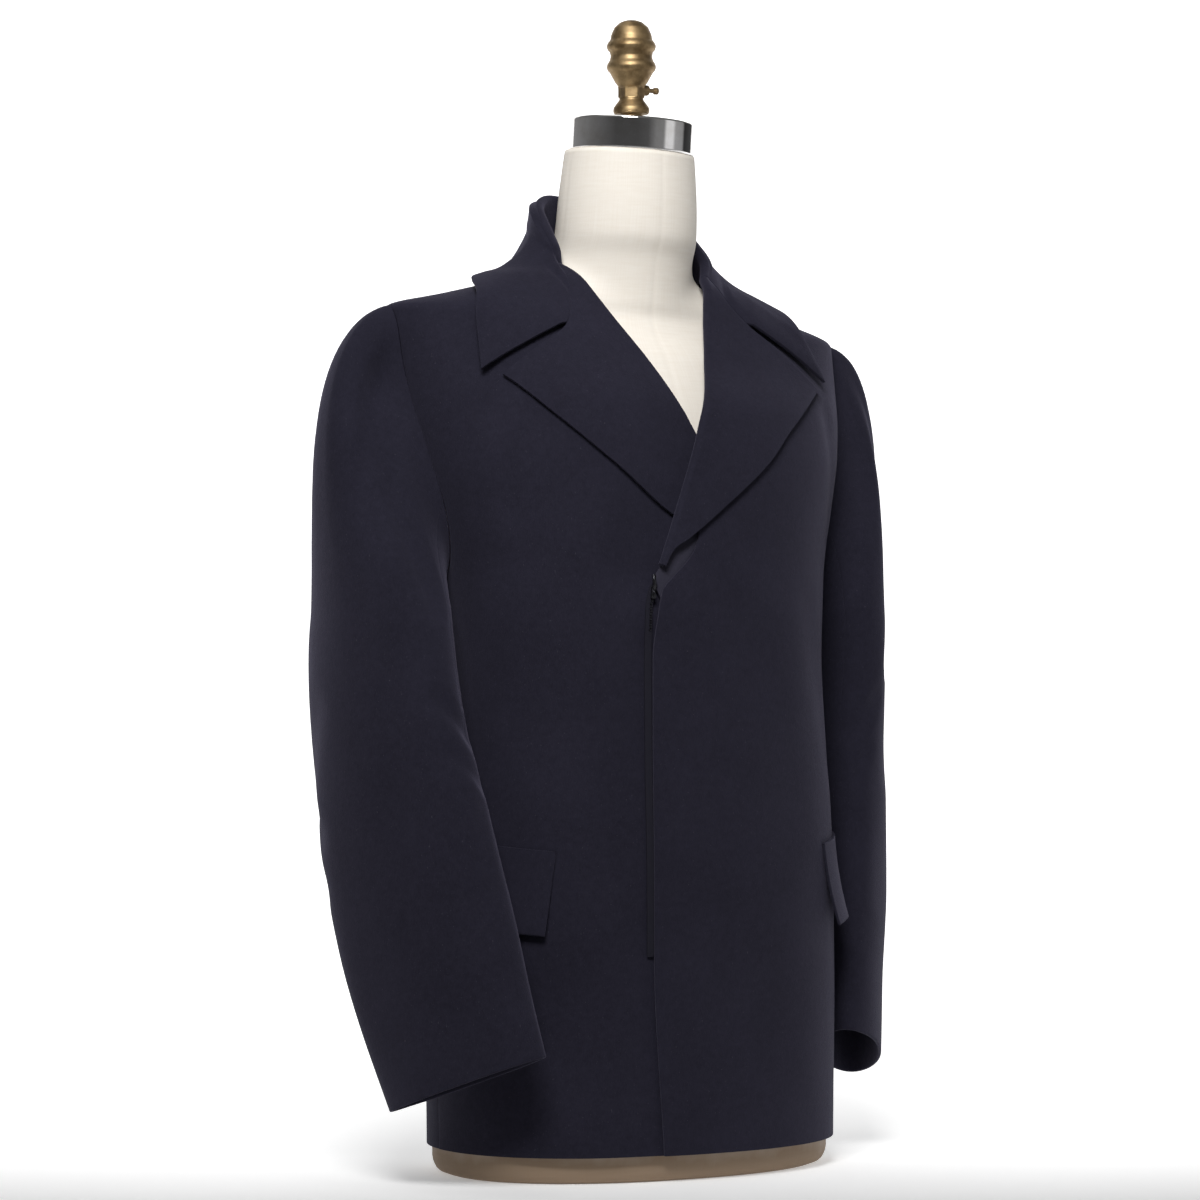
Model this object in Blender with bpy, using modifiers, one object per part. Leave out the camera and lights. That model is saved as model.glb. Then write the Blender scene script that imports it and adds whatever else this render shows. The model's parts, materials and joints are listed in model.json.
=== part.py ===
"""A short navy wool overcoat with a hidden front zip, dressed on a tailor's form.

Metres, +Z up, the coat faces -Y and the wearer's left is +X. The origin is the middle of the
form's flat underside. Every cloth piece is a loft over the coat's body or over a sleeve: an
outer sheet, and the same points moved in by the wall. Each seam keeps a small gap.
"""

import math
from collections import namedtuple

import bmesh
import bpy
from mathutils import Matrix, Vector

# Cloth walls, and the gaps between pieces
CLOTH = 0.003
DOUBLED = 0.0034  # two cloths sewn together, in the lapels
COLLAR_WALL = 0.0027
SEAM = 0.00018  # each piece is trimmed by this much at a seam
CLEAR = 0.0014  # between pieces that lie on each other

# The coat's main sizes
HEM = 0.0235
UNDERARM = 0.505
SHOULDER_TIP = 0.7257
NECK_POINT = 0.766
BACK_NECK = 0.794
SHOULDER_TILT = 0.052  # how much the coat hangs higher towards the right, per metre
TILT_FROM = 0.480  # there is no tilt below this height, and all of it above the next one
TILT_FULL = 0.700

# The front: where the zip ends, and how far the right front sinks to pass under the left one
ZIP_TOP = 0.500
ZIP_BOTTOM = 0.190
UNDERLAP = CLOTH + 0.0014
LAPEL_UNDERLAP = 0.0064  # more of it where the right lapel passes under too
LAPEL_UNDERLAP_HEIGHTS = (0.470, 0.515)
UNDERLAP_EDGE = 0.007  # the right front is down all the way up to this far past the left's edge
UNDERLAP_EASE = 0.075  # and level with the coat again this far past it
ROLL_RADIUS = 0.0045  # of the turned edge of the lapels and collar
ROLL_GAP = 0.0008  # between that edge and the front's own edge
BACK_NECK_EXTRA = 0.0006  # the back reaches this much above the fronts where they meet
NECK_RISES = (88, 145)  # the neck seam rises over the back between these turns
SIDE_SEAM_BACK = 0.010  # the side seam runs this far behind the coat's middle

# The coat's outer surface, a ring for each height. front and back are depths from centre_y.
Section = namedtuple("Section", "height half_width centre_y front back power")
COAT_BODY = [
    Section(0.020, 0.183, 0.000, 0.1340, 0.132, 2.20),
    Section(0.120, 0.184, 0.000, 0.1350, 0.134, 2.20),
    Section(0.240, 0.183, 0.000, 0.1350, 0.130, 2.20),
    Section(0.350, 0.177, 0.002, 0.134, 0.124, 2.20),
    Section(0.430, 0.173, 0.004, 0.134, 0.121, 2.20),
    Section(0.505, 0.177, 0.008, 0.138, 0.125, 2.18),
    Section(0.560, 0.190, 0.013, 0.138, 0.130, 2.10),
    Section(0.611, 0.204, 0.019, 0.138, 0.130, 2.00),
    Section(0.643, 0.212, 0.024, 0.135, 0.124, 1.90),
    Section(0.692, 0.219, 0.029, 0.105, 0.109, 1.85),
    Section(0.7257, 0.220, 0.031, 0.0830, 0.093, 1.85),
    Section(0.7350, 0.1835, 0.029, 0.0760, 0.089, 1.90),
    Section(0.7445, 0.149, 0.026, 0.0680, 0.085, 2.00),
    Section(0.7545, 0.1145, 0.024, 0.0640, 0.079, 2.00),
    Section(0.766, 0.080, 0.022, 0.0610, 0.074, 2.00),
    Section(0.794, 0.074, 0.020, 0.0600, 0.064, 2.00),
]
# The form without its neck, and the neck that swells out of it
FORM_TORSO = [
    Section(0.000, 0.168, 0.000, 0.110, 0.114, 2.20),
    Section(0.003, 0.175, 0.000, 0.117, 0.121, 2.20),
    Section(0.014, 0.179, 0.000, 0.121, 0.125, 2.20),
    Section(0.120, 0.179, 0.000, 0.123, 0.127, 2.20),
    Section(0.240, 0.176, 0.000, 0.123, 0.121, 2.20),
    Section(0.350, 0.166, 0.002, 0.121, 0.112, 2.20),
    Section(0.430, 0.160, 0.004, 0.119, 0.108, 2.20),
    Section(0.505, 0.162, 0.008, 0.117, 0.110, 2.20),
    Section(0.560, 0.164, 0.012, 0.113, 0.114, 2.15),
    Section(0.611, 0.167, 0.017, 0.109, 0.116, 2.10),
    Section(0.643, 0.172, 0.021, 0.104, 0.109, 2.00),
    Section(0.692, 0.183, 0.027, 0.087, 0.095, 1.90),
    Section(0.717, 0.187, 0.030, 0.068, 0.082, 1.90),
    Section(0.7275, 0.1795, 0.030, 0.060, 0.076, 1.95),
    Section(0.7405, 0.1475, 0.026, 0.052, 0.071, 2.00),
    Section(0.7505, 0.1125, 0.024, 0.046, 0.064, 2.00),
    Section(0.7615, 0.0775, 0.022, 0.040, 0.056, 2.00),
    Section(0.780, 0.050, 0.018, 0.030, 0.044, 2.00),
    Section(0.800, 0.030, 0.010, 0.025, 0.030, 2.00),
    Section(0.871, 0.010, 0.003, 0.010, 0.010, 2.00),
]
NeckRing = namedtuple("NeckRing", "height radius")
FORM_NECK = [
    NeckRing(0.560, 0.0300),
    NeckRing(0.660, 0.0500),
    NeckRing(0.710, 0.0580),
    NeckRing(0.742, 0.0600),
    NeckRing(0.792, 0.0613),
    NeckRing(0.827, 0.0600),
    NeckRing(0.858, 0.0574),
    NeckRing(0.871, 0.0560),
]
NECK_BLEND = 7  # the higher, the tighter the hollow where neck and shoulders meet

# Free edge of each front, and above the break the line on which its lapel rolls.
# Its x is towards the wearer's side that the front is on, so below zero it is past the centre.
EdgePoint = namedtuple("EdgePoint", "height x")
FRONT_EDGES = {
    "left": [
        EdgePoint(0.020, -0.044),
        EdgePoint(0.190, -0.054),
        EdgePoint(0.503, -0.052),
        EdgePoint(0.580, -0.027),
        EdgePoint(0.643, 0.001),
        EdgePoint(0.690, 0.033),
        EdgePoint(0.742, 0.060),
        EdgePoint(0.766, 0.070),
    ],
    "right": [
        EdgePoint(0.020, -0.036),
        EdgePoint(0.480, -0.042),
        EdgePoint(0.515, -0.040),
        EdgePoint(0.580, -0.018),
        EdgePoint(0.626, 0.003),
        EdgePoint(0.690, 0.036),
        EdgePoint(0.742, 0.061),
        EdgePoint(0.766, 0.070),
    ],
}

# Lapels, seen from the front. outer goes from the break to the point, top from the neck to it,
# and collar_tip is the collar's own point on that side, across the notch.
LapelPoint = namedtuple("LapelPoint", "along x height")
LAPEL_OUTER = {
    "left": [
        LapelPoint(0.00, -0.046, 0.508),
        LapelPoint(0.20, -0.010, 0.535),
        LapelPoint(0.42, 0.038, 0.567),
        LapelPoint(0.56, 0.062, 0.592),
        LapelPoint(0.75, 0.102, 0.620),
        LapelPoint(1.00, 0.156, 0.675),
    ],
    "right": [
        LapelPoint(0.00, -0.034, 0.520),
        LapelPoint(0.20, -0.008, 0.534),
        LapelPoint(0.42, 0.033, 0.559),
        LapelPoint(0.73, 0.097, 0.611),
        LapelPoint(1.00, 0.155, 0.665),
    ],
}
LAPEL_TOP = {
    "left": [
        LapelPoint(0.00, 0.070, 0.766),
        LapelPoint(0.22, 0.077, 0.747),
        LapelPoint(0.44, 0.088, 0.728),
        LapelPoint(0.72, 0.120, 0.704),
    ],
    "right": [
        LapelPoint(0.00, 0.070, 0.766),
        LapelPoint(0.22, 0.079, 0.740),
        LapelPoint(0.44, 0.092, 0.713),
        LapelPoint(0.72, 0.123, 0.690),
    ],
}
COLLAR_TIP = {"left": (0.164, 0.682), "right": (0.168, 0.672)}
NOTCH_COLUMN = 5  # the notch is at this column of the fall's, and of LAPEL_TOP's 0.44
LAPEL_FROM = 0.04  # the lapel begins this far up from the break
LAPEL_LIFT = DOUBLED + CLEAR
PUSH_WITHIN = 0.004  # the collar's points are pushed softly off the coat from this near it
PUSHES = 3
PUSH_SHARE = 0.7

# Half openings of the armhole, by the angle up from the underarm (0) to the shoulder tip (180)
ArmholePoint = namedtuple("ArmholePoint", "angle front back")
ARMHOLE = [
    ArmholePoint(0, 0.000, 0.000),
    ArmholePoint(30, 0.022, 0.026),
    ArmholePoint(60, 0.033, 0.044),
    ArmholePoint(90, 0.024, 0.052),
    ArmholePoint(120, 0.009, 0.044),
    ArmholePoint(150, 0.003, 0.024),
    ArmholePoint(180, 0.000, 0.000),
]

# Sleeve sections below the armhole. x is outward, turned is how far the section's front end
# turns in, and pitch how far that end is tipped up.
SleeveRing = namedtuple("SleeveRing", "x y height long short turned pitch")
SLEEVES = {
    "right": [
        SleeveRing(0.231, 0.024, 0.470, 0.084, 0.049, 3, 2),
        SleeveRing(0.235, 0.006, 0.390, 0.085, 0.048, 10, 6),
        SleeveRing(0.235, -0.021, 0.310, 0.085, 0.045, 22, 11),
        SleeveRing(0.228, -0.048, 0.220, 0.083, 0.040, 31, 16),
        SleeveRing(0.219, -0.070, 0.150, 0.079, 0.035, 34, 19),
        SleeveRing(0.209, -0.091, 0.088, 0.075, 0.030, 35, 20),
    ],
    "left": [
        SleeveRing(0.2235, 0.042, 0.470, 0.080, 0.0425, 2, 2),
        SleeveRing(0.2305, 0.045, 0.390, 0.083, 0.0425, 9, 5),
        SleeveRing(0.2370, 0.041, 0.310, 0.083, 0.041, 20, 9),
        SleeveRing(0.2370, 0.029, 0.220, 0.081, 0.038, 29, 14),
        SleeveRing(0.2345, 0.021, 0.150, 0.078, 0.033, 33, 18),
        SleeveRing(0.2295, 0.010, 0.086, 0.075, 0.029, 35, 20),
    ],
}
# The sleeve head leaves the shoulder in this direction, this strongly, and swells by this much
SleeveHead = namedtuple("SleeveHead", "direction reach fullness")
SLEEVE_HEADS = {
    "left": SleeveHead(Vector((1.0, 0.0, -0.12)), 0.21, 0.001),
    "right": SleeveHead(Vector((1.0, 0.0, -0.25)), 0.21, 0.009),
}
UNDERARM_LEAVING = SleeveHead(Vector((0.35, 0.0, -0.95)), 0.03, 0.0)
# The sleeves' largest folds: troughs from one place on the sleeve to another. around is in
# degrees, as for the seams, and down in rings from the armhole.
SleeveFold = namedtuple("SleeveFold", "around down to_around to_down half_width depth")
SLEEVE_FOLDS = {
    "right": [
        SleeveFold(54, 0.12, 52, 0.60, 0.020, 0.0035),
        SleeveFold(60, 0.12, 96, 0.85, 0.024, 0.0045),
        SleeveFold(84, 1.95, 112, 2.30, 0.020, 0.0035),
        SleeveFold(80, 2.55, 108, 2.85, 0.018, 0.0025),
        SleeveFold(-62, 0.80, -98, 1.90, 0.030, 0.0045),
    ],
    "left": [
        SleeveFold(30, 0.25, 46, 1.50, 0.024, 0.0040),
        SleeveFold(76, 2.00, 104, 2.35, 0.020, 0.0030),
        SleeveFold(-58, 0.70, -92, 1.80, 0.030, 0.0040),
    ],
}
SEAM_TRIM = 1.3  # the seams down the sleeve are trimmed by this many seam gaps
DEGREE_ROUND = 0.0011  # length of one degree round a sleeve, and of one ring's step down it
RING_DOWN = 0.083
FOLDS_FROM = 0.12  # folds fade out towards the armhole from this far down
SLEEVE_SEAMS = (118, 242)  # degrees round from the top by the front; the under sleeve is between

# The collar from the centre back forwards: the turn of its seam, its fold, and its free edge on
# each side. The edge lies on the coat's back until it crosses the shoulder, then on its front.
CollarStation = namedtuple(
    "CollarStation", "along seam_turn fold_x fold_y fold_height left_x left_height right_x right_height"
)
COLLAR = [
    CollarStation(0.00, 180, 0.000, 0.079, 0.835, 0.000, 0.7560, 0.000, 0.7560),
    CollarStation(0.20, 152, 0.036, 0.072, 0.833, 0.062, 0.7520, 0.062, 0.7520),
    CollarStation(0.40, 122, 0.062, 0.048, 0.822, 0.112, 0.7480, 0.113, 0.7480),
    CollarStation(0.62, 93, 0.073, 0.016, 0.803, 0.143, 0.7463, 0.149, 0.7445),
    CollarStation(0.80, 76, 0.074, -0.001, 0.787, 0.149, 0.7200, 0.166, 0.7220),
]
COLLAR_CROSSES = 0.62
COLLAR_EDGE_LIFT = {"left": 0.001, "right": 0.005}  # how far its free edge stands off
STAND_FOOT_GAP = 0.0016
GORGE_GAP = Vector((0.0007, 0, 0.0006))
FALL_SAG = (0.22, 0.60)  # how far over and down to the free edge the fall has its bend

# Pocket flaps, by turn round the body
FLAP_FRONT_TURN = 44
FLAP_BACK_TURN = {"left": 72, "right": 82}
FLAP_TOP = 0.286
FLAP_DROP = 0.070
FLAP_SLANT = 0.008  # the flap's front end is this much lower
FLAP_RAKE = 3.0  # and its front edge leans back by this turn
FLAP_FLARE = {"left": 0.010, "right": 0.004}  # its free edge stands off the coat
FLAP_BACK_HELD = 0.8  # this much less at the back end
FLAP_WALL = 0.0024
FLAP_SEAT = 2 * SEAM  # its sewn top edge lies this near the coat
FLAP_ROWS = 6
FLAP_COLUMNS = 8

# The zip: its tape beside the left front's edge, the tape's turned end, and its slider
TAPE_WIDTH = 0.006
TAPE_COLUMNS = 4
TAPE_ROWS = 12
TAPE_WALL = 0.0012
TAPE_DEPTH = 0.0020  # its face lies this far inside the left front's
TAPE_END_TOP = ((-0.0470, 0.5052), (-0.0175, 0.5272))  # (x, height) of its ends on the left front
TAPE_END_FOOT = ((-0.0455, 0.4970), (-0.0190, 0.5240))
TAPE_END_WALL = 0.0010
TAPE_END_ROWS = 5
SLIDER_SIZE = (0.0044, 0.0036, 0.0105)
SLIDER_HEIGHT = 0.4935
SLIDER_BEVEL = 0.0007
PULL_SIZE = (0.0030, 0.0010, 0.0130)
PULL_DROP = 0.0085  # its middle is this much below the slider's

# The form's neck band and finial. The neck's top is tilted: it rises to the back by this slope,
# and the coat's own tilt takes it up to the right.
NECK_TOP = 0.871
NECK_TILT = 0.020
NECK_TILTS = (0.800, 0.860)  # between these heights
BAND_HEIGHT = 0.0280
BAND_RADIUS = 0.0543
BAND_EDGE = 0.0012
BAND_STEPS = 40
SCREW_HEIGHT = 0.9270
LUG_RADIUS = 0.0046
LUG_START = 0.004
LUG_END = 0.0166
SCREW_RADIUS = 0.0019
SCREW_HEAD_RADIUS = 0.0030
SCREW_HEAD_LENGTH = 0.004
SCREW_END = 0.0266
TurnedPoint = namedtuple("TurnedPoint", "radius height")
FINIAL = [
    TurnedPoint(0.0000, 0.9870),
    TurnedPoint(0.0075, 0.9856),
    TurnedPoint(0.0135, 0.9810),
    TurnedPoint(0.0170, 0.9745),
    TurnedPoint(0.0184, 0.9675),
    TurnedPoint(0.0214, 0.9655),
    TurnedPoint(0.0214, 0.9628),
    TurnedPoint(0.0185, 0.9606),
    TurnedPoint(0.0185, 0.9522),
    TurnedPoint(0.0214, 0.9498),
    TurnedPoint(0.0214, 0.9462),
    TurnedPoint(0.0183, 0.9438),
    TurnedPoint(0.0160, 0.9350),
    TurnedPoint(0.0106, 0.9272),
    TurnedPoint(0.0106, 0.9180),
    TurnedPoint(0.0100, 0.9150),
    TurnedPoint(0.0152, 0.9125),
    TurnedPoint(0.0154, 0.8900),
    TurnedPoint(0.0000, 0.8900),
]

# How fine the lofts are
ROWS_TO_UNDERARM = 9
ROWS_AT_ARMHOLE = 12
ROWS_ON_SHOULDER = 6
FRONT_COLUMNS = 15
BACK_COLUMNS = 18
HEAD_ROWS = 8
SLEEVE_ROWS = 11
TOP_SLEEVE_COLUMNS = 15
UNDER_SLEEVE_COLUMNS = 8
ROLL_POINTS = 9  # round the turned edge of a lapel, and round and below that of the collar
FALL_POINTS = 9
FALL_SPACING = 1.4  # above 1 they are closer together beside the roll
COLLAR_ROWS = 14  # on each side, these last ones of them on the way to the gorge
GORGE_ROWS = 4
FIXED_BESIDE_ROLL = 3
FORM_COLUMNS = 36
FORM_RINGS = ((0.120, 0.600, 7), (0.630, 0.800, 17), (0.820, NECK_TOP, 4))

MERGE = 0.00005

SIDES = ("left", "right")


# Curves through the tables

def eased(knots, values, at):
    """A smooth curve through the values that never passes beyond them."""
    if at <= knots[0]:
        return values[0]
    if at >= knots[-1]:
        return values[-1]
    i = max(k for k in range(len(knots) - 1) if knots[k] <= at)
    slopes = [
        (values[k + 1] - values[k]) / (knots[k + 1] - knots[k]) for k in range(len(knots) - 1)
    ]

    def tangent(k):
        if k == 0 or k == len(slopes):
            return slopes[min(k, len(slopes) - 1)]
        before, after = slopes[k - 1], slopes[k]
        return 0.0 if before * after <= 0 else 2 * before * after / (before + after)

    step = knots[i + 1] - knots[i]
    t = (at - knots[i]) / step
    return (
        (2 * t**3 - 3 * t**2 + 1) * values[i]
        + (t**3 - 2 * t**2 + t) * step * tangent(i)
        + (3 * t**2 - 2 * t**3) * values[i + 1]
        + (t**3 - t**2) * step * tangent(i + 1)
    )


def from_table(table, at):
    """The table's other columns at a value of its first one."""
    columns = list(zip(*table))
    return [eased(columns[0], column, at) for column in columns[1:]]


def smoothstep(low, high, value):
    t = min(1.0, max(0.0, (value - low) / (high - low)))
    return t * t * (3 - 2 * t)


def spaced(start, end, count):
    return [start + (end - start) * i / (count - 1) for i in range(count)]


# The coat's outer surface. turn is in degrees: 0 at the centre front, 90 at the wearer's left.

def coat_point(turn, height):
    half_width, centre_y, front, back, power = from_table(COAT_BODY, height)
    sine, cosine = math.sin(math.radians(turn)), math.cos(math.radians(turn))
    x = math.copysign(half_width * abs(sine) ** (2 / power), sine)
    depth = front if cosine > 0 else back
    y = centre_y - math.copysign(depth * abs(cosine) ** (2 / power), cosine)
    return Vector((x, y, height))


def coat_normal(turn, height):
    across = coat_point(turn + 1, height) - coat_point(turn - 1, height)
    upward = coat_point(turn, height + 0.002) - coat_point(turn, height - 0.002)
    return across.cross(upward).normalized()


def turn_at_x(x, height):
    """The turn on the coat's front where it has this x."""
    half_width, _, _, _, power = from_table(COAT_BODY, height)
    sine = min(1.0, abs(x) / half_width) ** (power / 2)
    return math.copysign(math.degrees(math.asin(sine)), x)


def turn_at_y(y, height):
    """The turn on the wearer's left where the coat has this y."""
    _, centre_y, front, back, power = from_table(COAT_BODY, height)
    depth = front if y < centre_y else back
    cosine = min(1.0, abs(y - centre_y) / depth) ** (power / 2)
    return math.degrees(math.acos(math.copysign(cosine, centre_y - y)))


def off_coat(point):
    """Roughly how far a point lies off the coat's surface, and the way straight off it."""
    def level(x, y, z):
        half_width, centre_y, front, back, power = from_table(COAT_BODY, z)
        depth = front if y < centre_y else back
        return (abs(x / half_width) ** power + abs((y - centre_y) / depth) ** power) ** (1 / power)

    step = 0.0005
    here = level(*point)
    rise = Vector((
        level(point.x + step, point.y, point.z) - level(point.x - step, point.y, point.z),
        level(point.x, point.y + step, point.z) - level(point.x, point.y - step, point.z),
        level(point.x, point.y, point.z + step) - level(point.x, point.y, point.z - step),
    )) / (2 * step)
    return (here - 1) / rise.length, rise.normalized()


def kept_off(point, least):
    """The point moved straight off the coat until it clears it, softly from a little before."""
    for _ in range(PUSHES):
        distance, away = off_coat(point)
        over = distance - least
        if over < PUSH_WITHIN:
            wanted = (over + math.hypot(over, PUSH_WITHIN)) / 2
            point = point + away * (wanted - over) * PUSH_SHARE
    return point


def seam_y(height):
    """Where the side seam, and above it the middle of the armhole, lies from front to back."""
    centre_y = from_table(COAT_BODY, height)[1]
    return centre_y + SIDE_SEAM_BACK * (1 - smoothstep(UNDERARM, SHOULDER_TIP, height))


def armhole(height):
    """The armhole's half openings to the front and to the back at a height."""
    middle, half = (SHOULDER_TIP + UNDERARM) / 2, (SHOULDER_TIP - UNDERARM) / 2
    level = min(1.0, max(-1.0, (middle - height) / half))
    return from_table(ARMHOLE, math.degrees(math.acos(level)))


def panel_heights():
    middle, half = (SHOULDER_TIP + UNDERARM) / 2, (SHOULDER_TIP - UNDERARM) / 2
    below = spaced(HEM, UNDERARM, ROWS_TO_UNDERARM)
    beside = [middle - half * math.cos(a) for a in spaced(0, math.pi, ROWS_AT_ARMHOLE + 1)]
    above = spaced(SHOULDER_TIP, NECK_POINT, ROWS_ON_SHOULDER)
    return below + beside[1:] + above[1:]


def hung(point):
    """The coat hangs a little higher on the right shoulder."""
    lift = -point.x * SHOULDER_TILT * smoothstep(TILT_FROM, TILT_FULL, point.z)
    return point + Vector((0, 0, lift))


def underlap(x, height):
    """How far the right front has sunk under the left one, where x is past the centre below 0."""
    depth = UNDERLAP + LAPEL_UNDERLAP * smoothstep(*LAPEL_UNDERLAP_HEIGHTS, height)
    left_edge = -from_table(FRONT_EDGES["left"], height)[0]
    return depth * smoothstep(left_edge + UNDERLAP_EASE, left_edge + UNDERLAP_EDGE, x)


def on_front(side, turn, height, lift):
    """A point on one front, lifted off it. Both fronts are worked out on the wearer's left."""
    point = coat_point(turn, height)
    if side == "right":
        lift -= underlap(point.x, height)
    return point + coat_normal(turn, height) * lift


# Fronts and back

def front_row(side, height, lift):
    """Points of one front from its free edge or roll line to its side seam or armhole."""
    edge_x = from_table(FRONT_EDGES[side], height)[0] + SEAM
    seam = seam_y(height) - armhole(height)[0] - SEAM
    start, end = turn_at_x(edge_x, height), turn_at_y(seam, height)
    return [on_front(side, turn, height, lift) for turn in spaced(start, end, FRONT_COLUMNS + 1)]


def neck_edge(turn):
    """Height of the neck seam: level along the fronts, rising over the back."""
    return NECK_POINT + (BACK_NECK - NECK_POINT) * smoothstep(*NECK_RISES, turn)


def back_row(height, risen, lift):
    """Points of the back at a height. Above the shoulders they have risen this far to the neck."""
    seam = seam_y(height) + armhole(height)[1] + SEAM
    start = turn_at_y(seam, height)
    row = []
    for turn in spaced(start, 360 - start, BACK_COLUMNS + 1):
        around = turn if turn <= 180 else 360 - turn
        level = height + risen * (neck_edge(around) + BACK_NECK_EXTRA - height)
        row.append(coat_point(turn, level) + coat_normal(turn, level) * lift)
    return row


def back_rows(lift):
    rows = [back_row(height, 0, lift) for height in panel_heights()]
    return rows + [back_row(NECK_POINT, risen, lift) for risen in (0.5, 1.0)]


# Lapels and collar

def lapel_places(side):
    """Places along a lapel whose rows start at the front's own rows on the roll line."""
    low, high = LAPEL_OUTER[side][0].height, NECK_POINT
    places = [(height - low) / (high - low) for height in panel_heights()]
    return [LAPEL_FROM] + [place for place in places if place > 2 * LAPEL_FROM]


def lapel_line(side, along):
    """Roll line and free edge of a lapel, as (x, height), for a place along it from the break."""
    break_height = LAPEL_OUTER[side][0].height
    roll_height = break_height + (LAPEL_TOP[side][0].height - break_height) * along
    roll = Vector((from_table(FRONT_EDGES[side], roll_height)[0], roll_height))
    return roll, Vector(from_table(LAPEL_OUTER[side], along))


def turned_edge(start, towards, normal, radius, count):
    """One face of a wall's edge turned over, from below round to above."""
    centre = start - towards * ROLL_GAP + normal * (LAPEL_LIFT - ROLL_RADIUS)
    return [
        centre - towards * radius * math.cos(a) + normal * radius * math.sin(a)
        for a in spaced(-math.pi / 2, math.pi / 2, count)
    ]


def fall_places():
    """Places across a lapel or down the collar's fall, from the roll to the free edge."""
    return [(i / FALL_POINTS) ** FALL_SPACING for i in range(1, FALL_POINTS + 1)]


def roll_point(side, along, aside=0.0):
    """A point of the front on the lapel's roll line, or this far beside it."""
    roll, _ = lapel_line(side, along)
    return on_front(side, turn_at_x(roll.x + aside, roll.y), roll.y, 0)


def roll_frame(side, along):
    """Where the lapel turns over, the way across from there, and the way off the front."""
    start = roll_point(side, along)
    upward = roll_point(side, min(1, along + 0.02)) - roll_point(side, max(0, along - 0.02))
    sideways = roll_point(side, along, 0.004) - start
    normal = sideways.cross(upward).normalized()
    return start, upward.cross(normal).normalized(), normal


def lapel_row(side, along, depth):
    """A lapel's row across, on its outer face or this deep into it."""
    roll, outer = lapel_line(side, along)
    _, tip = lapel_line(side, 1.0)
    top = LAPEL_TOP[side] + [LapelPoint(1.0, tip.x, tip.y)]
    neck = Vector((top[0].x, top[0].height))
    bend_weight = along**3
    flat = []
    for across in fall_places():
        bend = Vector(from_table(top, across)) - neck.lerp(tip, across)
        flat.append(roll.lerp(outer, across) + bend * bend_weight)
    face = [on_front(side, turn_at_x(x, height), height, LAPEL_LIFT - depth) for x, height in flat]
    start, towards, normal = roll_frame(side, along)
    return turned_edge(start, towards, normal, ROLL_RADIUS - depth, ROLL_POINTS + 1) + face


def collar_end(side, depth):
    """The collar's row along the gorge seam and the notch, just above the lapel's top row."""
    row = lapel_row(side, 1.0, depth)
    tip_x, tip_height = COLLAR_TIP[side]
    tip_lift = LAPEL_LIFT + COLLAR_EDGE_LIFT[side] - depth
    tip = on_front(side, turn_at_x(tip_x, tip_height), tip_height, tip_lift)
    notch = row[ROLL_POINTS + NOTCH_COLUMN]
    notch_at = fall_places()[NOTCH_COLUMN - 1]
    front = [
        kept_off(notch.lerp(tip, (across - notch_at) / (1 - notch_at)), LAPEL_LIFT - depth)
        for across in fall_places()[NOTCH_COLUMN:]
    ]
    return [point + GORGE_GAP for point in row[: ROLL_POINTS + NOTCH_COLUMN + 1] + front]


def collar_station(side, along, depth):
    """The collar's row on its outer face: up inside the neck, over the fold, down to its edge."""
    station = CollarStation(along, *from_table(COLLAR, along))
    seam = coat_point(station.seam_turn, neck_edge(station.seam_turn))
    fold = Vector((station.fold_x, station.fold_y, station.fold_height))
    edge_x, edge_height = station.left_x, station.left_height
    if side == "right":
        edge_x, edge_height = station.right_x, station.right_height
    edge_turn = turn_at_x(edge_x, edge_height)
    if along < COLLAR_CROSSES:
        edge_turn = 180 - edge_turn
    edge_lift = COLLAR_EDGE_LIFT["left"]
    edge_lift += (COLLAR_EDGE_LIFT[side] - edge_lift) * smoothstep(0, 0.4, along)
    edge = coat_point(edge_turn, edge_height)
    edge += coat_normal(edge_turn, edge_height) * (LAPEL_LIFT + edge_lift - depth)
    outward = Vector((edge.x - fold.x, edge.y - fold.y, 0)).normalized()

    foot = seam - outward * (CLOTH + SEAM - depth) + Vector((0, 0, STAND_FOOT_GAP))
    centre = fold - Vector((0, 0, ROLL_RADIUS))
    radius = ROLL_RADIUS - depth
    inside_top = centre - outward * radius
    outside_top = centre + outward * radius
    row = [foot.lerp(inside_top, part) for part in (0, 1 / 3, 2 / 3)]
    for a in spaced(0, math.pi, ROLL_POINTS - 2):
        row.append(centre - outward * radius * math.cos(a) + Vector((0, 0, radius * math.sin(a))))
    over, down = FALL_SAG
    bend = Vector((
        outside_top.x + over * (edge.x - outside_top.x),
        outside_top.y + over * (edge.y - outside_top.y),
        outside_top.z + down * (edge.z - outside_top.z),
    ))
    for part in fall_places():
        point = outside_top.lerp(bend, part).lerp(bend.lerp(edge, part), part)
        row.append(kept_off(point, LAPEL_LIFT + edge_lift * part - depth))
    return row


def collar_rows(side, depth):
    """Rows of the collar's half on one side, from the centre back to the gorge."""
    last = COLLAR[-1].along
    stations = COLLAR_ROWS - GORGE_ROWS
    rows = [collar_station(side, along, depth) for along in spaced(0, last, stations)]
    start, end = rows[-1], collar_end(side, depth)
    fixed = ROLL_POINTS + FIXED_BESIDE_ROLL
    for part in spaced(0, 1, GORGE_ROWS + 1)[1:-1]:
        row = [a.lerp(b, part) for a, b in zip(start, end)]
        rows.append(row[:fixed] + [kept_off(point, LAPEL_LIFT - depth) for point in row[fixed:]])
    return rows + [end]


# Sleeves

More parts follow.
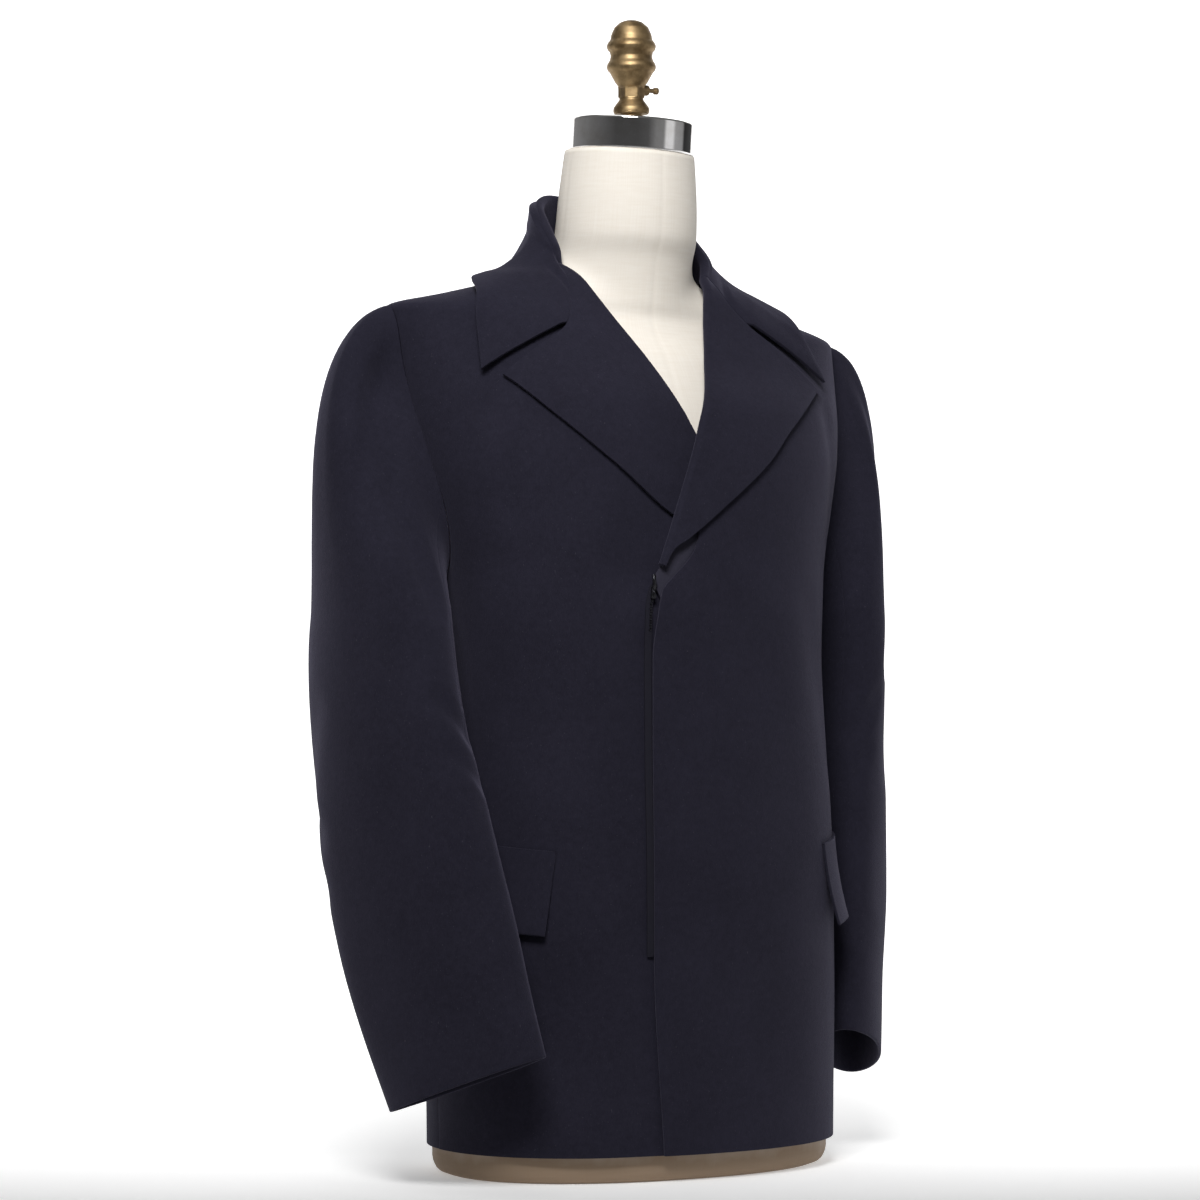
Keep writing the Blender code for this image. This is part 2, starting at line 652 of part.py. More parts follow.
def armhole_point(around):
    """The armhole's edge on the wearer's left, 0 at the shoulder tip, 90 at the front."""
    cosine, sine = math.cos(math.radians(around)), math.sin(math.radians(around))
    middle, half = (SHOULDER_TIP + UNDERARM) / 2, (SHOULDER_TIP - UNDERARM) / 2
    height = middle + (half - SEAM) * cosine
    front, back = armhole(height)
    y = seam_y(height) + (SEAM - front if sine > 0 else back - SEAM)
    point = coat_point(turn_at_y(y, height), height)
    return point + Vector((3 * SEAM, 0, 0))


def ring_point(ring, around):
    """A point of a sleeve's section, which is an oval that is turned and pitched."""
    angle, turned = math.radians(around), math.radians(ring.turned)
    outward = Vector((math.cos(turned), -math.sin(turned), 0))
    rise = math.tan(math.radians(ring.pitch))
    forward = Vector((-math.sin(turned), -math.cos(turned), rise)).normalized()
    centre = Vector((ring.x, ring.y, ring.height))
    return centre + outward * ring.short * math.cos(angle) + forward * ring.long * math.sin(angle)


def hermite(start, end, leaving, arriving, t):
    """A point on the curve between two ends that leaves and arrives with these tangents."""
    return (
        start * (2 * t**3 - 3 * t**2 + 1)
        + leaving * (t**3 - 2 * t**2 + t)
        + end * (3 * t**2 - 2 * t**3)
        + arriving * (t**3 - t**2)
    )


def sleeve_point(side, around, place):
    """A point on the sleeve: around it, and down it from the armhole (0) ring by ring."""
    points = [armhole_point(around)] + [ring_point(ring, around) for ring in SLEEVES[side]]
    high = (1 + math.cos(math.radians(around))) / 2
    head = SLEEVE_HEADS[side]
    reach = UNDERARM_LEAVING.reach + (head.reach - UNDERARM_LEAVING.reach) * high
    leaving = UNDERARM_LEAVING.direction.lerp(head.direction, high).normalized() * reach
    lengths = [(b - a).length for a, b in zip(points, points[1:])]
    slopes = [leaving / lengths[0]]
    for i in range(1, len(points) - 1):
        before = (points[i] - points[i - 1]) / lengths[i - 1]
        after = (points[i + 1] - points[i]) / lengths[i]
        both = lengths[i - 1] + lengths[i]
        slopes.append((before * lengths[i] + after * lengths[i - 1]) / both)
    slopes.append((points[-1] - points[-2]) / lengths[-1])
    i = min(max(int(place), 0), len(lengths) - 1)
    t = place - i
    leaving, arriving = slopes[i] * lengths[i], slopes[i + 1] * lengths[i]
    point = hermite(points[i], points[i + 1], leaving, arriving, t)
    if i == 0:
        point.x += head.fullness * high**2 * 16 * (t * (1 - t)) ** 2
    return point


def fold_depth(side, around, place):
    """How deep the sleeve's folds are at a place."""
    around = (around + 180) % 360 - 180
    here = Vector((around * DEGREE_ROUND, place * RING_DOWN))
    depth = 0.0
    for fold in SLEEVE_FOLDS[side]:
        start = Vector((fold.around * DEGREE_ROUND, fold.down * RING_DOWN))
        run = Vector((fold.to_around * DEGREE_ROUND, fold.to_down * RING_DOWN)) - start
        along = min(1.0, max(0.0, (here - start).dot(run) / run.length_squared))
        away = (here - start - run * along).length / fold.half_width
        depth += fold.depth * (1 - smoothstep(0, 1, away))
    return depth * smoothstep(0, FOLDS_FROM, place)


def sleeve_face(side, around, place, depth):
    """A point on the sleeve's outer face with its folds, or this deep into its wall."""
    point = sleeve_point(side, around, place)
    depth += fold_depth(side, around, place)
    below, above = min(place + 0.01, len(SLEEVES[side])), max(0, place - 0.01)
    along = sleeve_point(side, around, below) - sleeve_point(side, around, above)
    across = sleeve_point(side, around + 1, place) - sleeve_point(side, around - 1, place)
    return point + along.cross(across).normalized() * depth


def sleeve_rows():
    """Places down the sleeve, closer together over the sleeve head."""
    return spaced(0, 1, HEAD_ROWS) + spaced(1, len(SLEEVES["left"]), SLEEVE_ROWS)[1:]


# Making objects

def material(name, colour, roughness, metallic=0.0):
    made = bpy.data.materials.new(name)
    made.use_nodes = True
    shader = made.node_tree.nodes["Principled BSDF"]
    shader.inputs["Base Color"].default_value = (*colour, 1)
    shader.inputs["Roughness"].default_value = roughness
    shader.inputs["Metallic"].default_value = metallic
    return made


def wool(name):
    return material(name, (0.012, 0.014, 0.030), 0.92)


def add_object(name, mesh, surface, collection):
    mesh.materials.append(surface)
    for face in mesh.polygons:
        face.use_smooth = True
    made = bpy.data.objects.new(name, mesh)
    collection.objects.link(made)
    return made


def walled_mesh(name, outer, inner, flip):
    """A closed wall between two sheets that are rows of matching points. flip turns it round."""
    count, columns = len(outer), len(outer[0])
    points = [point for row in outer + inner for point in row]

    def at(sheet, r, c):
        return (sheet * count + r) * columns + c

    faces = []
    for r in range(count - 1):
        for c in range(columns - 1):
            faces.append((at(0, r, c), at(0, r, c + 1), at(0, r + 1, c + 1), at(0, r + 1, c)))
            faces.append((at(1, r, c), at(1, r + 1, c), at(1, r + 1, c + 1), at(1, r, c + 1)))
    end, last = count - 1, columns - 1
    for c in range(last):
        faces.append((at(0, 0, c), at(1, 0, c), at(1, 0, c + 1), at(0, 0, c + 1)))
        faces.append((at(0, end, c), at(0, end, c + 1), at(1, end, c + 1), at(1, end, c)))
    for r in range(end):
        faces.append((at(0, r, 0), at(0, r + 1, 0), at(1, r + 1, 0), at(1, r, 0)))
        faces.append((at(0, r, last), at(1, r, last), at(1, r + 1, last), at(0, r + 1, last)))
    mesh = bpy.data.meshes.new(name)
    mesh.from_pydata(points, [], [face[:1] + face[:0:-1] for face in faces] if flip else faces)
    return mesh


def cloth_piece(name, outer, inner, collection, flip=False, surface=None):
    """An object made of a wall between two sheets, hung as the coat is."""
    sheets = [[[hung(point) for point in row] for row in rows] for rows in (outer, inner)]
    mesh = walled_mesh(name, *sheets, flip)
    return add_object(name, mesh, surface or wool(name + "_wool"), collection)


def mirrored(rows):
    return [[Vector((-p.x, p.y, p.z)) for p in row] for row in rows]


def on_side(rows, side):
    return rows if side == "left" else mirrored(rows)


def side_piece(name, side, rows_at, wall, collection):
    """A piece of one side from its rows at a depth, at 0 and at its wall."""
    outer, inner = (on_side(rows_at(depth), side) for depth in (0, wall))
    cloth_piece(name + side, outer, inner, collection, flip=side == "right")


def make_front(side, collection):
    def rows_at(depth):
        return [front_row(side, height, -depth) for height in panel_heights()]

    side_piece("front_", side, rows_at, CLOTH, collection)


def make_back(collection):
    cloth_piece("back", back_rows(0), back_rows(-CLOTH), collection)


def make_lapel(side, collection):
    def rows_at(depth):
        return [lapel_row(side, along, depth) for along in lapel_places(side)]

    side_piece("lapel_", side, rows_at, DOUBLED, collection)


def make_collar(collection):
    sheets = []
    for depth in (0, COLLAR_WALL):
        left, right = collar_rows("left", depth), mirrored(collar_rows("right", depth))
        sheets.append(right[:0:-1] + left)
    cloth_piece("collar", *sheets, collection, flip=True)


def make_sleeve(side, collection):
    first_seam, last_seam = SLEEVE_SEAMS
    trim = SEAM / DEGREE_ROUND * SEAM_TRIM
    spans = {
        "top_sleeve_": (last_seam - 360 + trim, first_seam - trim, TOP_SLEEVE_COLUMNS),
        "under_sleeve_": (first_seam + trim, last_seam - trim, UNDER_SLEEVE_COLUMNS),
    }
    for name, (start, end, columns) in spans.items():
        turns = spaced(start, end, columns + 1)

        def rows_at(depth):
            return [[sleeve_face(side, turn, place, depth) for turn in turns] for place in sleeve_rows()]

        side_piece(name, side, rows_at, CLOTH, collection)


def form_heights():
    """Close rings at the foot and over the shoulders, and wide ones elsewhere."""
    foot = [ring.height for ring in FORM_TORSO[:3]]
    trunk, shoulders, neck = (spaced(*stretch) for stretch in FORM_RINGS)
    return foot + trunk + shoulders + neck


def make_form(collection):
    made = bmesh.new()
    rings = []
    for height in form_heights():
        half_width, centre_y, front, back, power = from_table(FORM_TORSO, height)
        neck = from_table(FORM_NECK, height)[0]
        ring = []
        for i in range(FORM_COLUMNS):
            turn = math.tau * i / FORM_COLUMNS
            sine, cosine = math.sin(turn), math.cos(turn)
            depth = front if cosine > 0 else back
            torso = (abs(sine / half_width) ** power + abs(cosine / depth) ** power) ** (-1 / power)
            radius = (torso**NECK_BLEND + neck**NECK_BLEND) ** (1 / NECK_BLEND)
            point = hung(Vector((radius * sine, centre_y - radius * cosine, height)))
            point.z += NECK_TILT * point.y * smoothstep(*NECK_TILTS, height)
            ring.append(made.verts.new(point))
        rings.append(ring)
    for lower, upper in zip(rings, rings[1:]):
        for i in range(FORM_COLUMNS):
            j = (i + 1) % FORM_COLUMNS
            made.faces.new((lower[i], lower[j], upper[j], upper[i]))
    made.faces.new(rings[0][::-1])
    made.faces.new(rings[-1])
    mesh = bpy.data.meshes.new("form")
    made.to_mesh(mesh)
    made.free()
    add_object("form", mesh, material("linen", (0.62, 0.55, 0.42), 0.85), collection)


def neck_top_frame(height):
    """The tilted frame of the neck's top, this far above it."""
    across, back = Vector((1, 0, -SHOULDER_TILT)), Vector((0, 1, NECK_TILT))
    up = across.cross(back).normalized()
    across.normalize()
    frame = Matrix((across, up.cross(across), up)).transposed().to_4x4()
    return Matrix.Translation((0, 0, NECK_TOP)) @ frame @ Matrix.Translation((0, 0, height))


def turned(name, profile, surface, collection, steps=24):
    """A profile of radius and height, top to bottom, spun round Z."""
    mesh = bpy.data.meshes.new(name)
    edges = [(i, i + 1) for i in range(len(profile) - 1)]
    mesh.from_pydata([(radius, 0, height) for radius, height in profile], edges, [])
    made = bpy.data.objects.new(name, mesh)
    collection.objects.link(made)
    made.data.materials.append(surface)
    spin = made.modifiers.new("Turned", "SCREW")
    spin.steps = spin.render_steps = steps
    spin.use_merge_vertices = True
    spin.merge_threshold = MERGE
    spin.use_normal_calculate = True
    return made


def block(name, size, frame, collection):
    mesh = bpy.data.meshes.new(name)
    shape = bmesh.new()
    bmesh.ops.create_cube(shape, size=1)
    shape.transform(Matrix.Diagonal((*size, 1)))
    shape.to_mesh(mesh)
    shape.free()
    made = bpy.data.objects.new(name, mesh)
    made.matrix_world = frame
    collection.objects.link(made)
    return made


def rod(name, radius, start, end, collection, sides=14):
    """A rod along +X at the set screw's height."""
    mesh = bpy.data.meshes.new(name)
    shape = bmesh.new()
    sizes = {"radius1": radius, "radius2": radius, "depth": end - start}
    bmesh.ops.create_cone(shape, cap_ends=True, segments=sides, **sizes)
    shape.to_mesh(mesh)
    shape.free()
    made = bpy.data.objects.new(name, mesh)
    made.location = ((start + end) / 2, 0, SCREW_HEIGHT)
    made.rotation_euler = (0, math.pi / 2, 0)
    collection.objects.link(made)
    return made


def combined(target, other, operation):
    step = target.modifiers.new(operation.title(), "BOOLEAN")
    step.object = other
    step.operation = operation
    step.solver = "EXACT"


def make_neck_band(collection):
    chrome = material("chrome", (0.60, 0.61, 0.63), 0.12, 1.0)
    inner = BAND_RADIUS - BAND_EDGE
    profile = [(0, BAND_HEIGHT), (inner, BAND_HEIGHT), (BAND_RADIUS, BAND_HEIGHT - BAND_EDGE)]
    profile += [(BAND_RADIUS, BAND_EDGE), (inner, 0), (0, 0)]
    band = turned("neck_band", profile, chrome, collection, steps=BAND_STEPS)
    band.matrix_world = neck_top_frame(2 * SEAM)


def make_finial(collection, cutters):
    brass = material("brass", (0.55, 0.42, 0.20), 0.35, 1.0)
    finial = turned("finial", [tuple(point) for point in FINIAL], brass, collection)
    lug = rod("lug", LUG_RADIUS, LUG_START, LUG_END, cutters)
    combined(finial, lug, "UNION")
    cut = 0.04
    under = neck_top_frame(BAND_HEIGHT + 4 * SEAM - cut / 2)
    combined(finial, block("under_finial", (2 * cut, 2 * cut, cut), under, cutters), "DIFFERENCE")

    screw = rod("set_screw", SCREW_RADIUS, LUG_END + 2 * SEAM, SCREW_END, collection)
    screw.data.materials.append(material("screw_brass", (0.55, 0.42, 0.20), 0.35, 1.0))
    head_start = SCREW_END - SCREW_HEAD_LENGTH
    head = rod("screw_head", SCREW_HEAD_RADIUS, head_start, SCREW_END + SEAM, cutters)
    combined(screw, head, "UNION")


def flap_row(side, down, depth):
    row = []
    for along in spaced(0, 1, FLAP_COLUMNS + 1):
        height = FLAP_TOP - FLAP_SLANT * (1 - along) - FLAP_DROP * down
        turn = FLAP_FRONT_TURN + FLAP_RAKE * down * (1 - along)
        turn += (FLAP_BACK_TURN[side] - FLAP_FRONT_TURN) * along
        flare = FLAP_FLARE[side] * down**2 * (1 - FLAP_BACK_HELD * smoothstep(0.5, 1, along))
        row.append(on_front(side, turn, height, FLAP_SEAT + CLEAR * down + FLAP_WALL + flare - depth))
    return row


def make_flap(side, collection):
    def rows_at(depth):
        return [flap_row(side, down, depth) for down in spaced(1, 0, FLAP_ROWS + 1)]

    side_piece("pocket_flap_", side, rows_at, FLAP_WALL, collection)


def tape_row(height, depth):
    edge = -from_table(FRONT_EDGES["left"], height)[0] + SEAM
    row = []
    for x in spaced(edge, edge + TAPE_WIDTH, TAPE_COLUMNS):
        turn = turn_at_x(x, height)
        row.append(coat_point(turn, height) - coat_normal(turn, height) * (TAPE_DEPTH + depth))
    return row


def tape_end_row(along, depth):
    """Across the zip tape's end, which is turned out over the left front below its lapel."""
    top = Vector(TAPE_END_TOP[0]).lerp(Vector(TAPE_END_TOP[1]), along)
    foot = Vector(TAPE_END_FOOT[0]).lerp(Vector(TAPE_END_FOOT[1]), along)
    lift = 2 * SEAM + TAPE_END_WALL - depth
    places = [foot.lerp(top, across) for across in (0, 0.5, 1)]
    return [on_front("left", turn_at_x(x, height), height, lift) for x, height in places]


def make_slider(collection, cutters):
    """The slider rests on the tape, beside the left front's edge, with its pull hanging."""
    edge = -from_table(FRONT_EDGES["left"], SLIDER_HEIGHT)[0] + SEAM
    x = edge + 2 * SEAM + SLIDER_SIZE[0] / 2
    turn = turn_at_x(x, SLIDER_HEIGHT)
    out = coat_normal(turn, SLIDER_HEIGHT)
    seat = coat_point(turn, SLIDER_HEIGHT) - out * (TAPE_DEPTH - 2 * SEAM - SLIDER_SIZE[1] / 2)
    out.x, seat.x = -out.x, -seat.x
    across = Vector((0, 0, 1)).cross(-out).normalized()
    frame = Matrix.Translation(seat) @ Matrix((across, -out, across.cross(-out))).transposed().to_4x4()
    slider = block("zip_slider", SLIDER_SIZE, frame, collection)
    slider.data.materials.append(material("zip_metal", (0.30, 0.30, 0.31), 0.35, 1.0))
    bevel = slider.modifiers.new("Bevel", "BEVEL")
    bevel.width = SLIDER_BEVEL
    bevel.segments = 1
    forward = (SLIDER_SIZE[1] + PULL_SIZE[1]) / 2 - 2 * SEAM
    pull = block("zip_pull", PULL_SIZE, frame @ Matrix.Translation((0, -forward, -PULL_DROP)), cutters)
    combined(slider, pull, "UNION")


def make_zip(collection):
    heights = spaced(ZIP_BOTTOM, ZIP_TOP, TAPE_ROWS)
    sheets = [mirrored([tape_row(height, depth) for height in heights]) for depth in (0, TAPE_WALL)]
    tape_grey = material("zip_tape_grey", (0.10, 0.10, 0.11), 0.8)
    cloth_piece("zip_tape", *sheets, collection, flip=True, surface=tape_grey)
    places = spaced(0, 1, TAPE_END_ROWS)
    sheets = [[tape_end_row(along, depth) for along in places] for depth in (0, TAPE_END_WALL)]
    end_grey = material("zip_tape_end_grey", (0.10, 0.10, 0.11), 0.8)
    cloth_piece("zip_tape_end", *sheets, collection, flip=True, surface=end_grey)


def make_all():
    for old in list(bpy.data.objects):
        bpy.data.objects.remove(old)
    coat = bpy.data.collections.new("overcoat_on_dress_form")
    cutters = bpy.data.collections.new("cutters")
    bpy.context.scene.collection.children.link(coat)
    bpy.context.scene.collection.children.link(cutters)
    make_form(coat)
    make_neck_band(coat)
    make_finial(coat, cutters)
    make_back(coat)
    for side in SIDES:
        make_front(side, coat)
        make_lapel(side, coat)
        make_sleeve(side, coat)
        make_flap(side, coat)
    make_collar(coat)
    make_zip(coat)
    make_slider(coat, cutters)
    for helper in cutters.objects:
        helper.hide_render = True
        helper.display_type = "WIRE"


make_all()
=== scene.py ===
# %% [markdown]
# # A short navy wool overcoat on a tailor's form
#
# The coat is sewn from flat pieces of thick brushed wool: a back, two fronts, two lapels, a
# collar, two pocket flaps, and two sleeves of two pieces each. A hidden zip closes it. It hangs
# on a linen-covered form that has a chrome neck band and a turned brass finial.
#
# The measured solids come first, because they fix where everything is. Each cloth piece is then
# made again as a finer shell on the same surface: the solids have flat facets, and soft creases
# need many small faces.

# %% Load the measured solids
import json
import math

import bmesh
import bpy
import numpy as np
from mathutils import Matrix, Vector

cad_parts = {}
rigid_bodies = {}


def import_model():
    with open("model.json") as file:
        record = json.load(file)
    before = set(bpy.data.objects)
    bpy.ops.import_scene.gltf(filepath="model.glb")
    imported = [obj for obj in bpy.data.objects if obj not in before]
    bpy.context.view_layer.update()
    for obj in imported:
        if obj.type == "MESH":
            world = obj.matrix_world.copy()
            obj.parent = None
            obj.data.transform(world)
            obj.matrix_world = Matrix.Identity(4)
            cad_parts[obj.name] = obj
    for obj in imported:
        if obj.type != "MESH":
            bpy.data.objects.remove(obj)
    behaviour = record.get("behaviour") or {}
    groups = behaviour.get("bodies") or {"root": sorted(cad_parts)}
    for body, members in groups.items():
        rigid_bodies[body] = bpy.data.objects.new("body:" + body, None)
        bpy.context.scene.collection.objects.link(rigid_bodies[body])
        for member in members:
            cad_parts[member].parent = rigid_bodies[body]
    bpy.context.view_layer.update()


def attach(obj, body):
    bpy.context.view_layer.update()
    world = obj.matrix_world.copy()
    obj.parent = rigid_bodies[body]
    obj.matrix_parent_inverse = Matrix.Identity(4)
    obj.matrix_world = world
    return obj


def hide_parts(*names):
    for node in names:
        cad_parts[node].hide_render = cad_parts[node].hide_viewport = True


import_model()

SIDES = ("left", "right")

# %% [markdown]
# ## Where the viewer stands
#
# The form is seen from the wearer's right of the coat's front, a little above its waist, through
# a long lens, so the shoulders and hem stay nearly parallel.

# %% The camera
CAMERA_PLACE = (-2.0234, -3.4506, 0.487)
CAMERA_TURN = math.radians(-30)
SENSOR_WIDTH = 36
LENS = 139.19


def in_scene(name, data):
    """A new object in the scene, at the origin."""
    made = bpy.data.objects.new(name, data)
    bpy.context.scene.collection.objects.link(made)
    return made


camera = in_scene("camera", bpy.data.cameras.new("camera"))
camera.location = CAMERA_PLACE
camera.rotation_euler = (math.pi / 2, 0, CAMERA_TURN)
camera.data.sensor_width = SENSOR_WIDTH
camera.data.lens = LENS
bpy.context.scene.camera = camera
print("camera", round(camera.location.length, 2), "m from the form's foot")

# %% [markdown]
# ## The coat's measurements
#
# A pattern maker measures a body as rings: how wide and deep it is at each height. The coat's
# outer surface is kept in the same way, and a smooth curve runs through the rings. Every piece
# of cloth is a patch of this surface, so neighbours always meet.

# %% Walls and gaps between pieces, in metres
CLOTH = 0.003
DOUBLED = 0.0034  # the lapels are two cloths sewn together
COLLAR_WALL = 0.0027
SEAM = 0.00004
CLEAR = 0.0014
HEM = 0.0235
WAIST = 0.430
UNDERARM = 0.505
SHOULDER_TIP = 0.7257
NECK_POINT = 0.766
BACK_NECK = 0.794
print("wool", 1000 * CLOTH, "mm thick, and lapels", 1000 * CLEAR, "mm off the fronts")

# %% Rings of the coat: height, half width, centre from front to back, depths, roundness
COAT_BODY = (
    (0.020, 0.183, 0.000, 0.1340, 0.132, 2.20),
    (0.120, 0.184, 0.000, 0.1350, 0.134, 2.20),
    (0.240, 0.183, 0.000, 0.1350, 0.130, 2.20),
    (0.350, 0.177, 0.002, 0.134, 0.124, 2.20),
    (0.430, 0.173, 0.004, 0.134, 0.121, 2.20),
    (0.505, 0.177, 0.008, 0.138, 0.125, 2.18),
    (0.560, 0.190, 0.013, 0.138, 0.130, 2.10),
    (0.611, 0.204, 0.019, 0.138, 0.130, 2.00),
    (0.643, 0.212, 0.024, 0.135, 0.124, 1.90),
    (0.692, 0.219, 0.029, 0.105, 0.109, 1.85),
    (0.7257, 0.220, 0.031, 0.0830, 0.093, 1.85),
    (0.7350, 0.1835, 0.029, 0.0760, 0.089, 1.90),
    (0.7445, 0.149, 0.026, 0.0680, 0.085, 2.00),
    (0.7545, 0.1145, 0.024, 0.0640, 0.079, 2.00),
    (0.766, 0.080, 0.022, 0.0610, 0.074, 2.00),
    (0.794, 0.074, 0.020, 0.0600, 0.064, 2.00),
)


def eased(table, at):
    """The table's other columns at values of its first one, smooth and never past them."""
    table, at = np.asarray(table, float), np.asarray(at, float)
    knots, values = table[:, 0], table[:, 1:]
    at = np.clip(at, knots[0], knots[-1])
    step = np.diff(knots)
    slopes = np.diff(values, axis=0) / step[:, None]
    before, after = slopes[:-1], slopes[1:]
    turns_back = before * after <= 0
    both = np.where(turns_back, 1.0, before + after)
    inner = np.where(turns_back, 0.0, 2 * before * after / both)
    tangents = np.vstack([slopes[:1], inner, slopes[-1:]])
    i = np.clip(np.searchsorted(knots, at, side="right") - 1, 0, len(step) - 1)
    gap = np.asarray(step[i])[..., None]
    t = np.asarray((at - knots[i]) / step[i])[..., None]
    result = (2 * t**3 - 3 * t**2 + 1) * values[i] + (t**3 - 2 * t**2 + t) * gap * tangents[i]
    result = result + (3 * t**2 - 2 * t**3) * values[i + 1] + (t**3 - t**2) * gap * tangents[i + 1]
    return np.moveaxis(result, -1, 0)


def smoothstep(low, high, value):
    t = np.clip((value - low) / (high - low), 0, 1)
    return t * t * (3 - 2 * t)


print("waist of the coat:", round(2000 * float(eased(COAT_BODY, WAIST)[0])), "mm wide")

# %% A point of the coat, by its turn round the body (0 is the centre front) and its height
SHOULDER_ROUNDING = 0.0045
NEAR_TURN, NEAR_HEIGHT = 1, 0.002  # how far off the places are that tell which way the cloth faces


def unit(vectors):
    return vectors / np.linalg.norm(vectors, axis=-1, keepdims=True)


def coat_ring(height):
    """The ring at a height, averaged a little with its neighbours so that the shoulder rounds off."""
    height = np.asarray(height, float)
    above, below = (eased(COAT_BODY, height + step) for step in (SHOULDER_ROUNDING, -SHOULDER_ROUNDING))
    return eased(COAT_BODY, height) * 0.5 + (above + below) * 0.25


def coat_point(turn, height):
    turn, height = np.broadcast_arrays(np.radians(turn), height)
    half_width, centre_y, front, back, power = coat_ring(height)
    sine, cosine = np.sin(turn), np.cos(turn)
    depth = np.where(cosine > 0, front, back)
    x = half_width * np.sign(sine) * np.abs(sine) ** (2 / power)
    y = centre_y - depth * np.sign(cosine) * np.abs(cosine) ** (2 / power)
    return np.stack([x, y, height], axis=-1)


def coat_normal(turn, height):
    across = coat_point(turn + NEAR_TURN, height) - coat_point(turn - NEAR_TURN, height)
    upward = coat_point(turn, height + NEAR_HEIGHT) - coat_point(turn, height - NEAR_HEIGHT)
    return unit(np.cross(across, upward))


def turn_at_x(x, height):
    half_width, _, _, _, power = coat_ring(height)
    sine = np.minimum(1.0, np.abs(x) / half_width) ** (power / 2)
    return np.sign(x) * np.degrees(np.arcsin(sine))


def turn_at_y(y, height):
    _, centre_y, front, back, power = coat_ring(height)
    depth = np.where(y < centre_y, front, back)
    cosine = np.minimum(1.0, np.abs(y - centre_y) / depth) ** (power / 2)
    return np.degrees(np.arccos(np.sign(centre_y - y) * cosine))


print("centre front at the hem:", [round(1000 * float(v)) for v in coat_point(0.0, HEM)], "mm")

# %% [markdown]
# ## Soft creases
#
# Thick wool doesn't crumple. It makes a few long, shallow troughs where something pulls: from
# the armhole across the chest, at the waist, and below the shoulder blades. Each is placed as a
# line on the surface with a width and a depth, and no two are alike. A cloth
# simulation would need the flat pattern and many minutes. A slow, small wave over all
# of it keeps the rest from looking moulded.

# %% Troughs (or ridges, where the depth is below 0) on the body
SHOULDER_TILT = 0.052
TILT_HEIGHTS = (0.480, 0.700)
METRES_A_TURN = 0.0027  # one degree round the body
# turn, height, to turn, to height, half width, depth
BODY_CREASES = (
    (-50, 0.672, -55, 0.560, 0.016, 0.0018),
    (-58, 0.640, -61, 0.535, 0.013, -0.0008),
    (-40, 0.500, -66, 0.395, 0.030, 0.0014),
    (-58, 0.372, -70, 0.350, 0.010, 0.0010),
    (-18, 0.440, -30, 0.260, 0.036, 0.0012),
    (-26, 0.215, -22, 0.060, 0.040, -0.0010),
    (-46, 0.240, -50, 0.050, 0.034, 0.0009),
    (14, 0.455, 24, 0.300, 0.040, 0.0012),
    (52, 0.655, 60, 0.540, 0.018, 0.0018),
    (40, 0.480, 58, 0.350, 0.030, 0.0013),
    (28, 0.235, 34, 0.060, 0.042, -0.0010),
    (56, 0.200, 60, 0.040, 0.034, 0.0008),
    (132, 0.640, 118, 0.520, 0.026, 0.0024),
    (226, 0.645, 244, 0.515, 0.028, 0.0026),
    (146, 0.610, 138, 0.440, 0.030, -0.0014),
    (213, 0.600, 222, 0.450, 0.032, -0.0014),
    (160, 0.470, 136, 0.350, 0.034, 0.0020),
    (202, 0.455, 226, 0.340, 0.034, 0.0022),
    (166, 0.330, 158, 0.060, 0.046, 0.0016),
    (197, 0.300, 204, 0.045, 0.046, 0.0018),
    (181, 0.520, 180, 0.120, 0.040, -0.0012),
    (135, 0.280, 130, 0.060, 0.040, -0.0012),
    (228, 0.270, 232, 0.060, 0.040, -0.0010),
)
# across and up in waves per metre, shift, and height of each slow wave
SLOW_WAVES = (
    (4.1, 1.7, 0.4, 0.00035),
    (-2.3, 3.9, 1.9, 0.00030),
    (7.3, 2.1, 4.2, 0.00018),
    (5.2, -6.4, 2.7, 0.00016),
)
WAVES_END = (0.70, 0.64)  # the waves fade out between these heights, under the shoulder
WAVES_START = 0.09  # and are whole from here, above the hem
BESIDE_ARM, BESIDE_ARM_WIDTH = 0.7, 14  # how much calmer the cloth is beside the arms, over degrees
HEM_HOLDS, HEM_CREASES = 0.10, 0.25  # below this height creases fade to this share


def crease_depth(creases, across, down, metres_across, metres_down):
    """How deep the surface lies at places (across, down) because of the creases."""
    here = np.stack(np.broadcast_arrays(across * metres_across, down * metres_down), axis=-1)
    depth = np.zeros(here.shape[:-1])
    for from_across, from_down, to_across, to_down, half_width, deep in creases:
        start = np.array((from_across * metres_across, from_down * metres_down))
        run = np.array((to_across * metres_across, to_down * metres_down)) - start
        along = np.clip((here - start) @ run / (run @ run), 0, 1)
        away = np.linalg.norm(here - start - along[..., None] * run, axis=-1) / half_width
        depth += deep * (1 - smoothstep(0, 1, away))
    return depth


def slow_wave(across, up):
    """A small uneven swell, from places in metres."""
    swell = 0
    for waves_across, waves_up, shift, size in SLOW_WAVES:
        swell = swell + size * np.sin(math.tau * (waves_across * across + waves_up * up) + shift)
    return swell


def body_relief(turn, height):
    """How far the coat's cloth stands out from its plain surface."""
    around = np.mod(turn + 90, 360) - 90
    relief = -crease_depth(BODY_CREASES, around, height, METRES_A_TURN, 1.0)
    calm = smoothstep(*WAVES_END, height) * smoothstep(HEM, WAVES_START, height)
    from_arm = (np.abs(around - 90) - 90) % 180 - 90
    beside_arm = 1 - BESIDE_ARM * np.exp(-(from_arm / BESIDE_ARM_WIDTH) ** 2)
    swell = slow_wave(around * METRES_A_TURN, height) * calm
    at_hem = np.maximum(smoothstep(HEM, HEM_HOLDS, height), HEM_CREASES)
    return (relief * at_hem + swell) * beside_arm


